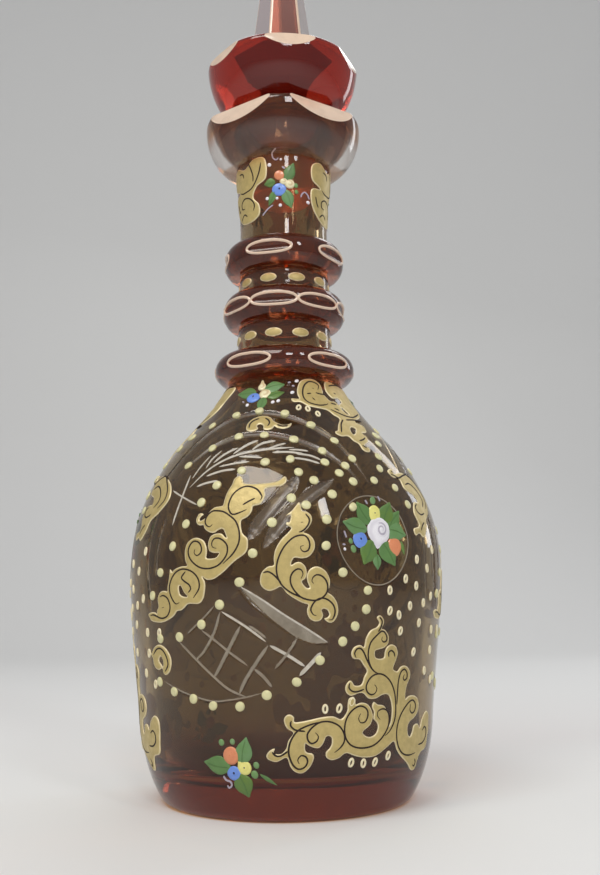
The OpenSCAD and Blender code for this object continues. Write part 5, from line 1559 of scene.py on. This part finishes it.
class DecanterColours(bpy.types.PropertyGroup):
    base: tint("Base", "Red-brown stain of the thick base", (0.18, 0.022, 0.008))
    body: tint("Body", "Amber stain of the body", (0.32, 0.225, 0.1))
    neck: tint("Neck", "Paler stain of the neck", (0.46, 0.34, 0.19))
    ring: tint("Rings", "Red-brown glass of the neck rings", (0.45, 0.13, 0.055))
    lip: tint("Lip", "Amber stain of the lip", (0.42, 0.14, 0.045))
    clear: tint("Clear glass", "Grey of the clear glass under the lip's stain", (0.75, 0.74, 0.72))
    ruby: tint("Disc", "Ruby stain of the stopper's disc", (0.36, 0.025, 0.012))
    spire: tint("Spire", "Rosy brown of the spire", (0.36, 0.1, 0.055))
    facet: tint("Facets", "Peach cream of the ground flats", (0.8, 0.6, 0.45))
    gold: tint("Gold", "Mustard of the paste gold", (0.58, 0.45, 0.175))
    # Cream rim of the gold: partly the raised edge's own paler paste, partly painted highlight.
    rim: tint("Gold rim", "Cream along the edges of the gold", (0.84, 0.73, 0.46))
    line: tint("Lines", "Dark brown of the contour lines", (0.025, 0.009, 0.004))
    cream: tint("Beads", "Cream of the beads", (0.76, 0.72, 0.4))
    leaf: tint("Leaves", "Green of the leaves", (0.115, 0.245, 0.068))
    blue: tint("Blue", "Blue of the small flowers", (0.16, 0.3, 0.78))
    orange: tint("Orange", "Orange of the small flowers", (0.72, 0.26, 0.12))
    yellow: tint("Yellow", "Yellow of the small flowers", (0.85, 0.8, 0.25))
    rose: tint("Rose", "White of the large rose", (0.88, 0.86, 0.9))
    bloom: tint("Cream flowers", "Cream of the small blooms", (0.85, 0.78, 0.5))
    floor: tint("Floor", "Pale studio paper", (0.78, 0.78, 0.77))


OPERATORS = [DECANTER_OT_stage, DECANTER_OT_body, DECANTER_OT_rings, DECANTER_OT_lip, DECANTER_OT_stopper,
             DECANTER_OT_gold, DECANTER_OT_ovals, DECANTER_OT_beads, DECANTER_OT_hoops, DECANTER_OT_leaves,
             DECANTER_OT_flowers]


class DECANTER_PT_panel(bpy.types.Panel):
    """Sizes, colours and pieces of the decanter"""
    bl_idname = "DECANTER_PT_panel"
    bl_label = "Decanter"
    bl_space_type = "VIEW_3D"
    bl_region_type = "UI"
    bl_category = "Decanter"

    def draw(self, context):
        for group in (context.scene.decanter_sizes, context.scene.decanter_colours):
            column = self.layout.column(align=True)
            for name in group.__annotations__:
                column.prop(group, name)
        column = self.layout.column(align=True)
        for operator in OPERATORS:
            column.operator(operator.bl_idname)


CLASSES = [DecanterSizes, DecanterColours] + OPERATORS + [DECANTER_PT_panel]


def register():
    for cls in CLASSES:
        bpy.utils.register_class(cls)
    bpy.types.Scene.decanter_sizes = PointerProperty(type=DecanterSizes)
    bpy.types.Scene.decanter_colours = PointerProperty(type=DecanterColours)


def unregister():
    del bpy.types.Scene.decanter_colours
    del bpy.types.Scene.decanter_sizes
    for cls in reversed(CLASSES):
        bpy.utils.unregister_class(cls)


def main():
    register()
    for operator in OPERATORS:
        group, name = operator.bl_idname.split(".")
        getattr(getattr(bpy.ops, group), name)()


if __name__ == "__main__":
    main()
